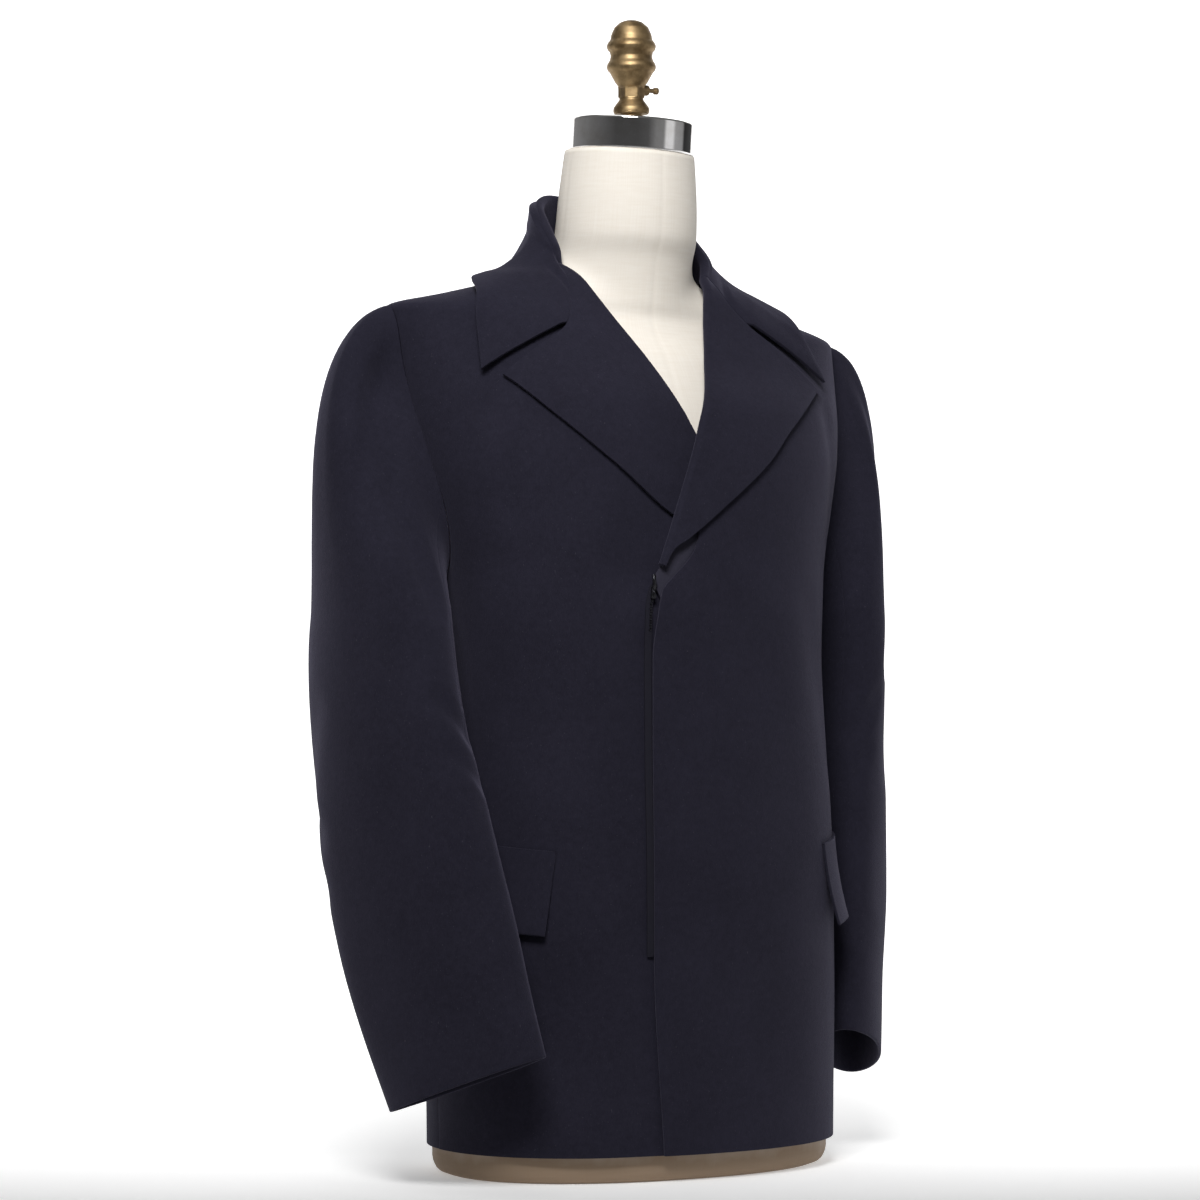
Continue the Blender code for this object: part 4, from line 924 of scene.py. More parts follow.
# %% The sleeves' sections
# outward, back, height, half length, half width, turned in, tipped up
SLEEVES = {
    "right": (
        (0.231, 0.024, 0.470, 0.084, 0.049, 3, 2),
        (0.235, 0.006, 0.390, 0.085, 0.048, 10, 6),
        (0.235, -0.021, 0.310, 0.085, 0.045, 22, 11),
        (0.228, -0.048, 0.220, 0.083, 0.040, 31, 16),
        (0.219, -0.070, 0.150, 0.079, 0.035, 34, 19),
        (0.209, -0.091, 0.088, 0.075, 0.030, 35, 20),
    ),
    "left": (
        (0.2235, 0.042, 0.470, 0.080, 0.0425, 2, 2),
        (0.2305, 0.045, 0.390, 0.083, 0.0425, 9, 5),
        (0.2370, 0.041, 0.310, 0.083, 0.041, 20, 9),
        (0.2370, 0.029, 0.220, 0.081, 0.038, 29, 14),
        (0.2345, 0.021, 0.150, 0.078, 0.033, 33, 18),
        (0.2295, 0.010, 0.086, 0.075, 0.029, 35, 20),
    ),
}
# direction in which the sleeve leaves the shoulder, how strongly, and how full it is
SLEEVE_HEADS = {
    "left": ((1.0, 0.0, -0.12), 0.21, 0.001),
    "right": ((1.0, 0.0, -0.25), 0.21, 0.009),
}
UNDERARM_LEAVING = ((0.35, 0.0, -0.95), 0.03)
METRES_AROUND = 0.0011  # one degree round the sleeve
METRES_DOWN = 0.083  # one section's step down it
FOLDS_FROM = 0.12
WAVES_CLOSER = 2  # the slow wave is shorter round a sleeve than round the body
WAVES_FADE = (180, 120)  # and fades out behind the arm
NEAR_PLACE, NEAR_AROUND = 0.01, 1
SLEEVE_PLACES = np.concatenate([np.linspace(0, 1, 36), np.linspace(1, 6, 112)[1:]])
# around, down, to around, to down, half width, depth
SLEEVE_CREASES = {
    "right": (
        (54, 0.12, 52, 0.60, 0.020, 0.0042),
        (60, 0.12, 96, 0.85, 0.025, 0.0052),
        (84, 1.95, 112, 2.30, 0.020, 0.0035),
        (80, 2.55, 108, 2.85, 0.018, 0.0025),
        (-62, 0.80, -98, 1.90, 0.030, 0.0045),
        (36, 0.30, 30, 1.40, 0.026, 0.0014),
        (70, 1.10, 62, 2.20, 0.030, -0.0012),
        (92, 3.10, 70, 3.60, 0.016, 0.0012),
        (20, 2.90, 52, 3.50, 0.030, 0.0012),
        (-30, 1.90, -64, 2.70, 0.026, 0.0022),
        (-86, 2.45, -54, 3.05, 0.022, 0.0022),
        (-104, 3.10, -70, 3.50, 0.020, 0.0016),
        (-20, 3.60, -34, 5.20, 0.034, 0.0012),
        (40, 4.20, 52, 5.70, 0.030, -0.0008),
        (170, 1.90, 150, 2.60, 0.022, 0.0018),
        (206, 2.10, 196, 3.00, 0.022, -0.0012),
    ),
    "left": (
        (30, 0.25, 46, 1.50, 0.024, 0.0040),
        (76, 2.00, 104, 2.35, 0.020, 0.0030),
        (-58, 0.70, -92, 1.80, 0.030, 0.0040),
        (58, 0.45, 66, 1.60, 0.022, -0.0012),
        (84, 2.60, 106, 2.95, 0.018, 0.0018),
        (10, 1.60, 34, 2.70, 0.032, 0.0012),
        (64, 2.90, 44, 4.10, 0.028, 0.0010),
        (-26, 1.80, -60, 2.60, 0.028, 0.0020),
        (-90, 2.40, -58, 3.00, 0.022, 0.0020),
        (-100, 3.20, -72, 3.70, 0.018, 0.0014),
        (-16, 3.40, -30, 5.00, 0.034, 0.0010),
        (160, 2.00, 176, 2.70, 0.022, 0.0016),
    ),
}


print(sum(len(creases) for creases in SLEEVE_CREASES.values()), "creases on the sleeves")

# %% A sleeve's points
def armhole_ring(around):
    """The armhole's edge, 0 at the shoulder tip and 90 at the front."""
    cosine, sine = np.cos(np.radians(around)), np.sin(np.radians(around))
    height = ARMHOLE_MIDDLE + (ARMHOLE_HALF - SEAM) * cosine
    front, back = armhole(height)
    y = seam_y(height) + np.where(sine > 0, SEAM - front, back - SEAM)
    return coat_point(turn_at_y(y, height), height) + (3 * SEAM, 0, 0)


def oval_ring(section, around):
    """A sleeve section: an oval that is turned in and tipped up."""
    x, y, height, long, short, turned_in, tipped = section
    angle, turned_in = np.radians(around)[:, None], math.radians(turned_in)
    outward = np.array((math.cos(turned_in), -math.sin(turned_in), 0))
    rise = math.tan(math.radians(tipped))
    forward = unit(np.array((-math.sin(turned_in), -math.cos(turned_in), rise)))
    return (x, y, height) + outward * short * np.cos(angle) + forward * long * np.sin(angle)


def sleeve_surface(side, around, place):
    """Points of a sleeve: a row for each place down it, a column for each turn around it."""
    knots = np.stack([armhole_ring(around)] + [oval_ring(section, around) for section in SLEEVES[side]])
    high = ((1 + np.cos(np.radians(around))) / 2)[:, None]
    direction, head_reach, fullness = SLEEVE_HEADS[side]
    under_direction, under_reach = UNDERARM_LEAVING
    reach = under_reach + (head_reach - under_reach) * high
    leaving = unit(np.array(under_direction) + (np.array(direction) - under_direction) * high) * reach
    steps = np.diff(knots, axis=0)
    lengths = np.linalg.norm(steps, axis=-1, keepdims=True)
    slope = steps / lengths
    inner = (slope[:-1] * lengths[1:] + slope[1:] * lengths[:-1]) / (lengths[:-1] + lengths[1:])
    slopes = np.concatenate([(leaving / lengths[0])[None], inner, slope[-1:]])
    i = np.clip(place.astype(int), 0, len(lengths) - 1)
    t = (place - i)[:, None, None]
    points = knots[i] * (2 * t**3 - 3 * t**2 + 1) + slopes[i] * lengths[i] * (t**3 - 2 * t**2 + t)
    points += knots[i + 1] * (3 * t**2 - 2 * t**3) + slopes[i + 1] * lengths[i] * (t**3 - t**2)
    swell = fullness * high[None, :, 0] ** 2 * 16 * (t[..., 0] * (1 - t[..., 0])) ** 2
    points[..., 0] += np.where(i[:, None] == 0, swell, 0)
    return points


def sleeve_grid(side, depth, around, place=SLEEVE_PLACES):
    last = len(SLEEVES[side])
    along = sleeve_surface(side, around, np.minimum(place + NEAR_PLACE, last))
    along = along - sleeve_surface(side, around, np.maximum(0, place - NEAR_PLACE))
    across = sleeve_surface(side, around + NEAR_AROUND, place)
    across = across - sleeve_surface(side, around - NEAR_AROUND, place)
    inward = unit(np.cross(along, across))
    turn, down = np.mod(around + 180, 360)[None] - 180, place[:, None]
    folds = crease_depth(SLEEVE_CREASES[side], turn, down, METRES_AROUND, METRES_DOWN)
    swell = slow_wave(turn * METRES_AROUND * WAVES_CLOSER, down * METRES_DOWN)
    swell = swell * smoothstep(*WAVES_FADE, np.abs(turn))
    sink = (folds - swell) * smoothstep(0, FOLDS_FROM, down)
    to_seam = np.minimum(around - around.min(), around.max() - around)[None] * METRES_AROUND
    sink = sink - drawn_in(to_seam) - drawn_in(down * METRES_DOWN)
    return sleeve_surface(side, around, place) + inward * (depth + sink)[..., None]


print("armhole:", round(1000 * np.ptp(armhole_ring(np.arange(360.0))[:, 2])), "mm high")

# %% The four sleeve pieces
SLEEVE_SEAMS = (118, 242)
SEAM_TRIM = SEAM / METRES_AROUND * 1.3
SPARSER = 0.4  # these pieces need less crowding of points beside their seams
SLEEVE_SPANS = {
    "top_sleeve_": (SLEEVE_SEAMS[1] - 360 + SEAM_TRIM, SLEEVE_SEAMS[0] - SEAM_TRIM, 66),
    "under_sleeve_": (SLEEVE_SEAMS[0] + SEAM_TRIM, SLEEVE_SEAMS[1] - SEAM_TRIM, 34),
}
for side in SIDES:
    for part, (first, last, columns) in SLEEVE_SPANS.items():
        around = first + (last - first) * crowded(columns, SPARSER)
        one_side(
            part, side, lambda side, depth, around=around: sleeve_grid(side, depth, around),
            CLOTH, (SEWN, FREE, SEWN, SEWN), navy_wool,
        )

# %% [markdown]
# ## Pocket flaps
#
# A flap is a small bag-shaped piece, sewn in along its top. Its free edge stands off the coat a
# little, more at the front corner, because the pocket under it has been used.

# %% The flaps
FLAP_FRONT_TURN = 44
FLAP_BACK_TURN = {"left": 72, "right": 82}
FLAP_TOP = 0.286
FLAP_DROP = 0.070
FLAP_SLANT = 0.008
FLAP_RAKE = 3.0
FLAP_FLARE = {"left": 0.010, "right": 0.004}
FLAP_BACK_HELD = 0.8
FLAP_WALL = 0.0024
FLAP_SEAT = 2 * SEAM
FLAP_ROUNDING = 0.0011


def flap_grid(side, depth):
    down, along = np.linspace(1, 0, 22)[:, None], crowded(34, SPARSER)[None]
    height = FLAP_TOP - FLAP_SLANT * (1 - along) - FLAP_DROP * down
    turn = FLAP_FRONT_TURN + FLAP_RAKE * down * (1 - along)
    turn = turn + (FLAP_BACK_TURN[side] - FLAP_FRONT_TURN) * along
    flare = FLAP_FLARE[side] * down**2 * (1 - FLAP_BACK_HELD * smoothstep(0.5, 1, along))
    return on_front(side, turn, height, FLAP_SEAT + CLEAR * down + FLAP_WALL + flare - depth)


for side in SIDES:
    rims = (FREE, SEWN, FREE, FREE)
    one_side("pocket_flap_", side, flap_grid, FLAP_WALL, rims, navy_wool, FLAP_ROUNDING)

# %% [markdown]
# ## The form
#
# A tailor's form is a padded shell under a tight linen cover. The cover is cut in panels that
# meet at the centre front, the sides and the centre back, so four fine seams run down it. It
# is one lofted surface, smooth enough to show no facets at the neck, and the seams are thin
# grooves in it. A map of its surface in metres carries the weave.

# %% The form's rings: height, half width, centre, depths to the front and back, roundness
FORM_TORSO = (
    (0.000, 0.168, 0.000, 0.110, 0.114, 2.20),
    (0.003, 0.175, 0.000, 0.117, 0.121, 2.20),
    (0.014, 0.179, 0.000, 0.121, 0.125, 2.20),
    (0.120, 0.179, 0.000, 0.123, 0.127, 2.20),
    (0.240, 0.176, 0.000, 0.123, 0.121, 2.20),
    (0.350, 0.166, 0.002, 0.121, 0.112, 2.20),
    (0.430, 0.160, 0.004, 0.119, 0.108, 2.20),
    (0.505, 0.162, 0.008, 0.117, 0.110, 2.20),
    (0.560, 0.164, 0.012, 0.113, 0.114, 2.15),
    (0.611, 0.167, 0.017, 0.109, 0.116, 2.10),
    (0.643, 0.172, 0.021, 0.104, 0.109, 2.00),
    (0.692, 0.183, 0.027, 0.087, 0.095, 1.90),
    (0.717, 0.187, 0.030, 0.068, 0.082, 1.90),
    (0.7275, 0.1795, 0.030, 0.060, 0.076, 1.95),
    (0.7405, 0.1475, 0.026, 0.052, 0.071, 2.00),
    (0.7505, 0.1125, 0.024, 0.046, 0.064, 2.00),
    (0.7615, 0.0775, 0.022, 0.040, 0.056, 2.00),
    (0.780, 0.050, 0.018, 0.030, 0.044, 2.00),
    (0.800, 0.030, 0.010, 0.025, 0.030, 2.00),
    (0.871, 0.010, 0.003, 0.010, 0.010, 2.00),
)
FORM_NECK = (
    (0.560, 0.0300), (0.660, 0.0500), (0.710, 0.0580), (0.742, 0.0600),
    (0.792, 0.0613), (0.827, 0.0600), (0.858, 0.0574), (0.871, 0.0560),
)
NECK_BLEND = 7
NECK_TOP = 0.871
NECK_TILT = 0.020
NECK_TILTS = (0.800, 0.860)
FORM_SEAMS = (0, 92, 180, 268)
FORM_SEAM_DEPTH = 0.0004
FORM_SEAM_WIDTH = 0.0016
FORM_COLUMNS = 192
FORM_HEIGHTS = np.concatenate([
    (0.0, 0.0008, 0.002, 0.004, 0.007, 0.010), np.linspace(0.014, 0.60, 90),
    np.linspace(0.605, 0.800, 56), np.linspace(0.803, NECK_TOP, 20),
])


def form_grid():
    heights = FORM_HEIGHTS[:, None]
    half_width, centre_y, front, back, power = eased(FORM_TORSO, heights)
    neck = eased(FORM_NECK, heights)[0]
    degrees = np.arange(FORM_COLUMNS) * 360 / FORM_COLUMNS
    turn = np.radians(degrees)[None]
    sine, cosine = np.sin(turn), np.cos(turn)
    depth = np.where(cosine > 0, front, back)
    torso = (np.abs(sine / half_width) ** power + np.abs(cosine / depth) ** power) ** (-1 / power)
    radius = (torso**NECK_BLEND + neck**NECK_BLEND) ** (1 / NECK_BLEND)
    for seam in FORM_SEAMS:
        away = (np.mod(degrees - seam + 180, 360) - 180)[None] * np.radians(1) * radius
        radius = radius - FORM_SEAM_DEPTH * np.exp(-((away / FORM_SEAM_WIDTH) ** 2))
    x, y, z = np.broadcast_arrays(radius * sine, centre_y - radius * cosine, heights)
    points = hung(np.stack([x, y, z], axis=-1))
    points[..., 2] += NECK_TILT * points[..., 1] * smoothstep(*NECK_TILTS, heights)
    return points


def lathe_faces(rows, columns):
    """Faces of a closed tube of rings, with a flat cap at each end."""
    index = np.arange(rows * columns).reshape(rows, columns)
    ahead = np.roll(index, -1, axis=1)
    quads = np.stack([index[:-1], ahead[:-1], ahead[1:], index[1:]], axis=-1).reshape(-1, 4)
    return [index[0, ::-1].tolist()] + quads.tolist() + [index[-1].tolist()]


form_points = form_grid()
form_mesh = bpy.data.meshes.new("linen_form")
form_mesh.from_pydata(form_points.reshape(-1, 3).tolist(), [], lathe_faces(*form_points.shape[:2]))
print("form:", *form_points.shape[:2], "rings and columns")

# %% The form's map in metres: across is the way round it, up is the height
cover_map = form_mesh.uv_layers.new(name="cover_metres")
corner_points = np.empty(len(form_mesh.loops), int)
form_mesh.loops.foreach_get("vertex_index", corner_points)
ring, column = np.divmod(corner_points, FORM_COLUMNS)
starts = [face.loop_start for face in form_mesh.polygons]
corners = [face.loop_total for face in form_mesh.polygons]
wraps = np.maximum.reduceat(column, starts).repeat(corners) == FORM_COLUMNS - 1
around_share = np.where(wraps & (column == 0), FORM_COLUMNS, column) / FORM_COLUMNS
heights_up = form_points[ring, column, 2]
places = np.stack([around_share, heights_up], axis=-1)
cover_map.data.foreach_set("uv", places.astype(np.float32).ravel())
print("map from", round(heights_up.min(), 3), "to", round(heights_up.max(), 3), "m up")

# %% [markdown]
# Linen cover: pale cream plain-woven linen, sized and a little shiny with age. Near its foot,
# where it shows under the coat's hem, it is painted browner and darker as shade.

# %% Cream linen
COVER_ROUND = 0.98  # metres round the form, so that threads come out square
HEM_SHADE_TOP, HEM_SHADE_FOOT, HEM_SHADE_UNEVEN = 0.110, 0.040, 0.05  # the painted shade fades from foot to top, unevenly
CREAM = (0.83, 0.785, 0.715)
CREAM_DEEP = (0.77, 0.710, 0.625)
HEM_SHADE_TAN = (0.215, 0.140, 0.080)
cream_linen, linen_tree, linen = finish_of("cream_linen", Roughness=0.72, Specular_IOR_Level=0.3)
cover_place = node(linen_tree, "ShaderNodeUVMap", uv_map="cover_metres")[0]
cover_vector = stretched(linen_tree, cover_place, (COVER_ROUND, 1.0, 1.0))
threads = placed(linen_tree, weave, Vector=cover_vector, Threads=1500.0, Slubs=420.0)
plain = mixed(linen_tree, between(linen_tree, threads["Tone"], 0.35, 0.65), CREAM_DEEP, CREAM)
form_height = node(linen_tree, "ShaderNodeSeparateXYZ", {0: object_place(linen_tree)})["Z"]
# painted shade: the foot, under the coat's hem, is mixed towards a dark tan
hem_shade_noise = noise(linen_tree, object_place(linen_tree), 18.0, 4.0)
hem_shade_reach = maths(linen_tree, "MULTIPLY_ADD", hem_shade_noise, HEM_SHADE_UNEVEN, form_height)
painted_hem_shade = between(linen_tree, hem_shade_reach, HEM_SHADE_TOP, HEM_SHADE_FOOT, 0.0, 0.92)
linen_tree.links.new(mixed(linen_tree, painted_hem_shade, plain, HEM_SHADE_TAN), linen["Base Color"])
linen_tree.links.new(between(linen_tree, threads["Tone"], 0.3, 0.7, 0.80, 0.62), linen["Roughness"])
bumped(linen_tree, threads["Height"], 0.00012, linen, 0.6)

add_piece("linen_form", "form", form_mesh, cream_linen)

# %% [markdown]
# ## Neck band and finial
#
# Both are turned on a lathe, so each is a profile spun round its axis. Real turned edges are
# never razor sharp, so the profile is rounded a little before it is spun.

# %% Spinning a rounded profile
def rounded_profile(points, spacing=0.0005, softness=2):
    """A profile of (radius, height) points with its corners eased."""
    points = np.array(points, float)
    runs = np.concatenate([[0], np.cumsum(np.linalg.norm(np.diff(points, axis=0), axis=1))])
    even = np.linspace(0, runs[-1], int(runs[-1] / spacing) + 1)
    fine = np.stack([np.interp(even, runs, points[:, i]) for i in (0, 1)], axis=-1)
    for _ in range(softness):
        fine[1:-1] = fine[1:-1] * 0.5 + (fine[:-2] + fine[2:]) * 0.25
    return fine


def spun(name, profile, steps):
    """A mesh from a profile that runs from its foot up, spun round Z, with closed poles."""
    angle = np.arange(steps) * math.tau / steps
    radius, height = profile[1:-1, :1], profile[1:-1, 1:]
    x, y, z = np.broadcast_arrays(radius * np.cos(angle), radius * np.sin(angle), height)
    rings = np.stack([x, y, z], axis=-1)
    rows = len(rings)
    foot, tip = rows * steps, rows * steps + 1
    points = rings.reshape(-1, 3).tolist() + [(0, 0, profile[0, 1]), (0, 0, profile[-1, 1])]
    faces = lathe_faces(rows, steps)[1:-1]
    for i in range(steps):
        j = (i + 1) % steps
        faces.append((foot, j, i))
        faces.append((tip, (rows - 1) * steps + i, (rows - 1) * steps + j))
    mesh = bpy.data.meshes.new(name)
    mesh.from_pydata(points, [], faces)
    return mesh


def neck_top_frame(height):
    """The tilted frame of the neck's top, this far above it."""
    across, back = Vector((1, 0, -SHOULDER_TILT)), Vector((0, 1, NECK_TILT))
    up = across.cross(back).normalized()
    across.normalize()
    turned = Matrix((across, up.cross(across), up)).transposed().to_4x4()
    return Matrix.Translation((0, 0, NECK_TOP)) @ turned @ Matrix.Translation((0, 0, height))


# %% Old metal, and the chrome
RUBBED_FROM, RUBBED_TO = 0.3, 0.7


def old_metal(name, scales, colours, roughness, relief=0.0, strength=0.0):
    """A metal that goes from one colour to the other in its stains, and is smoother where rubbed."""
    made, tree, shader = finish_of(name, Metallic=1.0)
    stains, rubbing = scales
    old = placed(tree, patina, Vector=object_place(tree), Stain_Scale=stains, Rub_Scale=rubbing)
    tree.links.new(mixed(tree, old["Stain"], *colours), shader["Base Color"])
    rubbed = between(tree, old["Rubbing"], RUBBED_FROM, RUBBED_TO, *roughness)
    tree.links.new(rubbed, shader["Roughness"])
    if relief:
        bumped(tree, old["Rubbing"], relief, shader, strength)
    return made


CHROME_COLOURS = ((0.80, 0.79, 0.78), (0.70, 0.68, 0.65))
chrome = old_metal("chrome", (45.0, 500.0), CHROME_COLOURS, (0.04, 0.09), 0.00002, 0.3)
print("chrome made")

# %% The band round the neck's top
BAND_HEIGHT = 0.0280
BAND_RADIUS = 0.0543
BAND_EDGE = 0.0012
band_profile = (
    (0, 0), (BAND_RADIUS - BAND_EDGE, 0), (BAND_RADIUS, BAND_EDGE),
    (BAND_RADIUS, BAND_HEIGHT - BAND_EDGE), (BAND_RADIUS - BAND_EDGE, BAND_HEIGHT), (0, BAND_HEIGHT),
)
band_mesh = spun("chrome_neck_band", rounded_profile(band_profile), 128)
band_mesh.transform(neck_top_frame(2 * SEAM))
add_piece("chrome_neck_band", "neck_band", band_mesh, chrome)

# %% Old brass: golden where hands rub it, brown where they don't
BRASS_COLOURS = ((0.36, 0.257, 0.135), (0.18, 0.117, 0.056))
brass = old_metal("old_brass", (70.0, 700.0), BRASS_COLOURS, (0.42, 0.60), 0.00004, 0.4)
print("brass made")

# %% The finial, from its foot on the band up to its crown
FINIAL = (
    (0.0000, 0.8900), (0.0096, 0.8900), (0.0096, 0.9050), (0.0148, 0.9058), (0.0157, 0.9078),
    (0.0154, 0.9112), (0.0128, 0.9148), (0.0102, 0.9182), (0.0106, 0.9205), (0.0106, 0.9285),
    (0.0140, 0.9330), (0.0170, 0.9384), (0.0186, 0.9414), (0.0206, 0.9434), (0.0214, 0.9462),
    (0.0206, 0.9492), (0.0188, 0.9517), (0.0178, 0.9555), (0.0187, 0.9592), (0.0206, 0.9612),
    (0.0214, 0.9642), (0.0204, 0.9670), (0.0182, 0.9695), (0.0174, 0.9742), (0.0146, 0.9805),
    (0.0096, 0.9848), (0.0048, 0.9865), (0.0000, 0.9870),
)
NUT_FROM, NUT_TO = 0.9198, 0.9290  # its waist is a nut
NUT_SIDE = 60  # degrees for each of its six sides
NUT_FLAT, NUT_TURN = 0.93, 30
finial_mesh = spun("brass_finial", rounded_profile(FINIAL, 0.0005, 3), 72)
rest = neck_top_frame(BAND_HEIGHT + 4 * SEAM)
rest_normal, rest_point = rest.to_3x3() @ Vector((0, 0, 1)), rest.translation
for vertex in finial_mesh.vertices:
    if NUT_FROM < vertex.co.z < NUT_TO:
        around = math.degrees(math.atan2(vertex.co.y, vertex.co.x)) + NUT_TURN
        vertex.co.xy *= NUT_FLAT / math.cos(math.radians(NUT_SIDE / 2 - around % NUT_SIDE))
    drop = (vertex.co.x * rest_normal.x + vertex.co.y * rest_normal.y) / rest_normal.z
    vertex.co.z = max(vertex.co.z, rest_point.z - drop)
add_piece("brass_finial", "finial", finial_mesh, brass)

# %% The lug on its side, and the set screw in it
SCREW_HEIGHT = 0.9270
SCREW_LINE = Matrix.Translation((0, 0, SCREW_HEIGHT)) @ Matrix.Rotation(math.pi / 2, 4, "Y")
LUG = ((0, 0.004), (0.0046, 0.004), (0.0046, 0.0158), (0.0040, 0.0166), (0, 0.0166))
SCREW = (
    (0, 0.0170), (0.0019, 0.0170), (0.0019, 0.0226), (0.0030, 0.0228),
    (0.0030, 0.0260), (0.0024, 0.0266), (0, 0.0266),
)
ON_LINE = {
    "brass_lug": (None, LUG, 0.0004, 2),
    "brass_set_screw": ("set_screw", SCREW, 0.0003, 1),
}
for name, (solid, profile, spacing, softness) in ON_LINE.items():
    mesh = spun(name, rounded_profile(profile, spacing, softness), 32)
    mesh.transform(SCREW_LINE)
    add_piece(name, solid, mesh, brass)

# %% [markdown]
# ## The zip
#
# The zip is hidden: its tape lies folded beside the left front's edge, and only the
# topmost teeth show, where the tape opens under the lapel. The end of the tape is turned out
# there as a small grey triangle. The teeth repeat along a line, so Geometry Nodes makes them:
# the line is sampled at the pitch of the teeth, and one small tooth is set on each point.

# %% Tape and its materials
TAPE_WIDTH = 0.006
TAPE_WALL = 0.0012
TAPE_DEPTH = 0.0020
TAPE_FROM, TAPE_TO = 0.190, 0.500
TAPE_ROWS, TAPE_COLUMNS = 70, 7
TAPE_ROUNDING = 0.0008


def woven_tape(name, threads, slubs, colours, roughness, shine):
    made, tree, shader = finish_of(name, Roughness=roughness, Specular_IOR_Level=shine)
    woven = placed(tree, weave, Vector=object_place(tree), Threads=threads, Slubs=slubs)
    tree.links.new(mixed(tree, woven["Tone"], *colours), shader["Base Color"])
    bumped(tree, woven["Height"], 0.0002, shader, 0.5)
    return made


TAPE_COLOURS = ((0.011, 0.0105, 0.016), (0.016, 0.0155, 0.023))
TAPE_END_COLOURS = ((0.019, 0.018, 0.029), (0.031, 0.029, 0.046))
tape_cloth = woven_tape("zip_tape_cloth", 2200.0, 300.0, TAPE_COLOURS, 0.9, 0.1)
tape_end_cloth = woven_tape("zip_tape_end_cloth", 1800.0, 250.0, TAPE_END_COLOURS, 0.8, 0.2)


def tape_grid(depth):
    height = np.linspace(TAPE_FROM, TAPE_TO, TAPE_ROWS)[:, None]
    edge = -eased(ROLL_LINES["left"], height)[0] + SEAM
    turn = turn_at_x(edge + TAPE_WIDTH * np.linspace(0, 1, TAPE_COLUMNS), height)
    lift = body_relief(-turn, height) - TAPE_DEPTH - depth
    return mirrored(coat_point(turn, height) + coat_normal(turn, height) * lift[..., None])


cloth_piece(
    "zip_tape_strip", "zip_tape", tape_grid(0), tape_grid(TAPE_WALL), True, (SEWN,) * 4,
    tape_cloth, TAPE_ROUNDING,
)

# %% The tape's turned-out end
TAPE_END_TOP = ((-0.0520, 0.5040), (-0.0100, 0.5460))
TAPE_END_FOOT = ((-0.0440, 0.4860), (-0.0060, 0.5380))
TAPE_END_WALL = 0.0010
TAPE_END_DEPTH = 0.0032  # it lies just behind the left front's wall
TAPE_END_GROOVE, GROOVE_AT, GROOVE_WIDTH = 0.0005, 0.55, 0.07
TAPE_END_ROUNDING = 0.0006
TAPE_END_POINTS = (24, 7)
TAPE_END_BULGE = (-0.0028, 0.0028)  # its upper edge bows out under the lapel


def tape_end_grid(depth):
    along = np.linspace(0, 1, TAPE_END_POINTS[0])[:, None, None]
    across = np.linspace(0, 1, TAPE_END_POINTS[1])[None, :, None]
    top = np.array(TAPE_END_TOP[0]) + (np.array(TAPE_END_TOP[1]) - TAPE_END_TOP[0]) * along
    top = top + np.array(TAPE_END_BULGE) * np.sin(math.pi * along)
    foot = np.array(TAPE_END_FOOT[0]) + (np.array(TAPE_END_FOOT[1]) - TAPE_END_FOOT[0]) * along
    flat = foot + (top - foot) * across
    x, height = flat[..., 0], flat[..., 1]
    groove = TAPE_END_GROOVE * np.exp(-(((across[..., 0] - GROOVE_AT) / GROOVE_WIDTH) ** 2))
    return on_front("left", turn_at_x(x, height), height, -TAPE_END_DEPTH - groove - depth)


cloth_piece(
    "zip_tape_end_strip", "zip_tape_end", tape_end_grid(0), tape_end_grid(TAPE_END_WALL), True,
    (SEWN,) * 4, tape_end_cloth, TAPE_END_ROUNDING,
)

# %% Zip metal
ZIP_COLOURS = ((0.050, 0.050, 0.056), (0.022, 0.022, 0.026))
zip_metal = old_metal("zip_metal", (300.0, 1500.0), ZIP_COLOURS, (0.25, 0.42))
print("zip metal made")

# %% A tree that sets teeth along a line
TOOTH = {"Pitch": 0.0021, "Tooth Width": 0.0018, "Tooth Height": 0.0011, "Tooth Depth": 0.0009}
TOOTH_ASIDE = 0.35  # every other tooth sits this share of its width to the side
teeth = bpy.data.node_groups.new("zip_teeth_along_line", "GeometryNodeTree")
teeth.interface.new_socket("Line", in_out="INPUT", socket_type="NodeSocketGeometry")
tooth_sockets = {}
for name in TOOTH:
    socket = teeth.interface.new_socket(name, in_out="INPUT", socket_type="NodeSocketFloat")
    tooth_sockets[name] = socket.identifier
teeth.interface.new_socket("Teeth", in_out="OUTPUT", socket_type="NodeSocketGeometry")
given = node(teeth, "NodeGroupInput")
curve = node(teeth, "GeometryNodeMeshToCurve", {0: given["Line"]})[0]
spaced = {"Curve": curve, "Length": given["Pitch"]}
points = node(teeth, "GeometryNodeResampleCurve", spaced, mode="LENGTH")[0]
odd = maths(teeth, "MODULO", node(teeth, "GeometryNodeInputIndex")[0], 2.0)
aside = maths(teeth, "MULTIPLY", odd, maths(teeth, "MULTIPLY", given["Tooth Width"], TOOTH_ASIDE))
shift = node(teeth, "ShaderNodeCombineXYZ", {"X": aside})[0]
moved = node(teeth, "GeometryNodeSetPosition", {"Geometry": points, "Offset": shift})[0]
sides = {"X": given["Tooth Width"], "Y": given["Tooth Depth"], "Z": given["Tooth Height"]}
size = node(teeth, "ShaderNodeCombineXYZ", sides)[0]
tooth = node(teeth, "GeometryNodeMeshCube", {"Size": size})["Mesh"]
tangent = node(teeth, "GeometryNodeInputTangent")[0]
upright = node(teeth, "FunctionNodeAlignRotationToVector", {"Vector": tangent}, axis="Z")[0]
each = {"Points": moved, "Instance": tooth, "Rotation": upright}
set_out = node(teeth, "GeometryNodeInstanceOnPoints", each)[0]
whole = node(teeth, "GeometryNodeRealizeInstances", {0: set_out})[0]
coated = node(teeth, "GeometryNodeSetMaterial", {"Geometry": whole, "Material": zip_metal})[0]
node(teeth, "NodeGroupOutput", {"Teeth": coated})
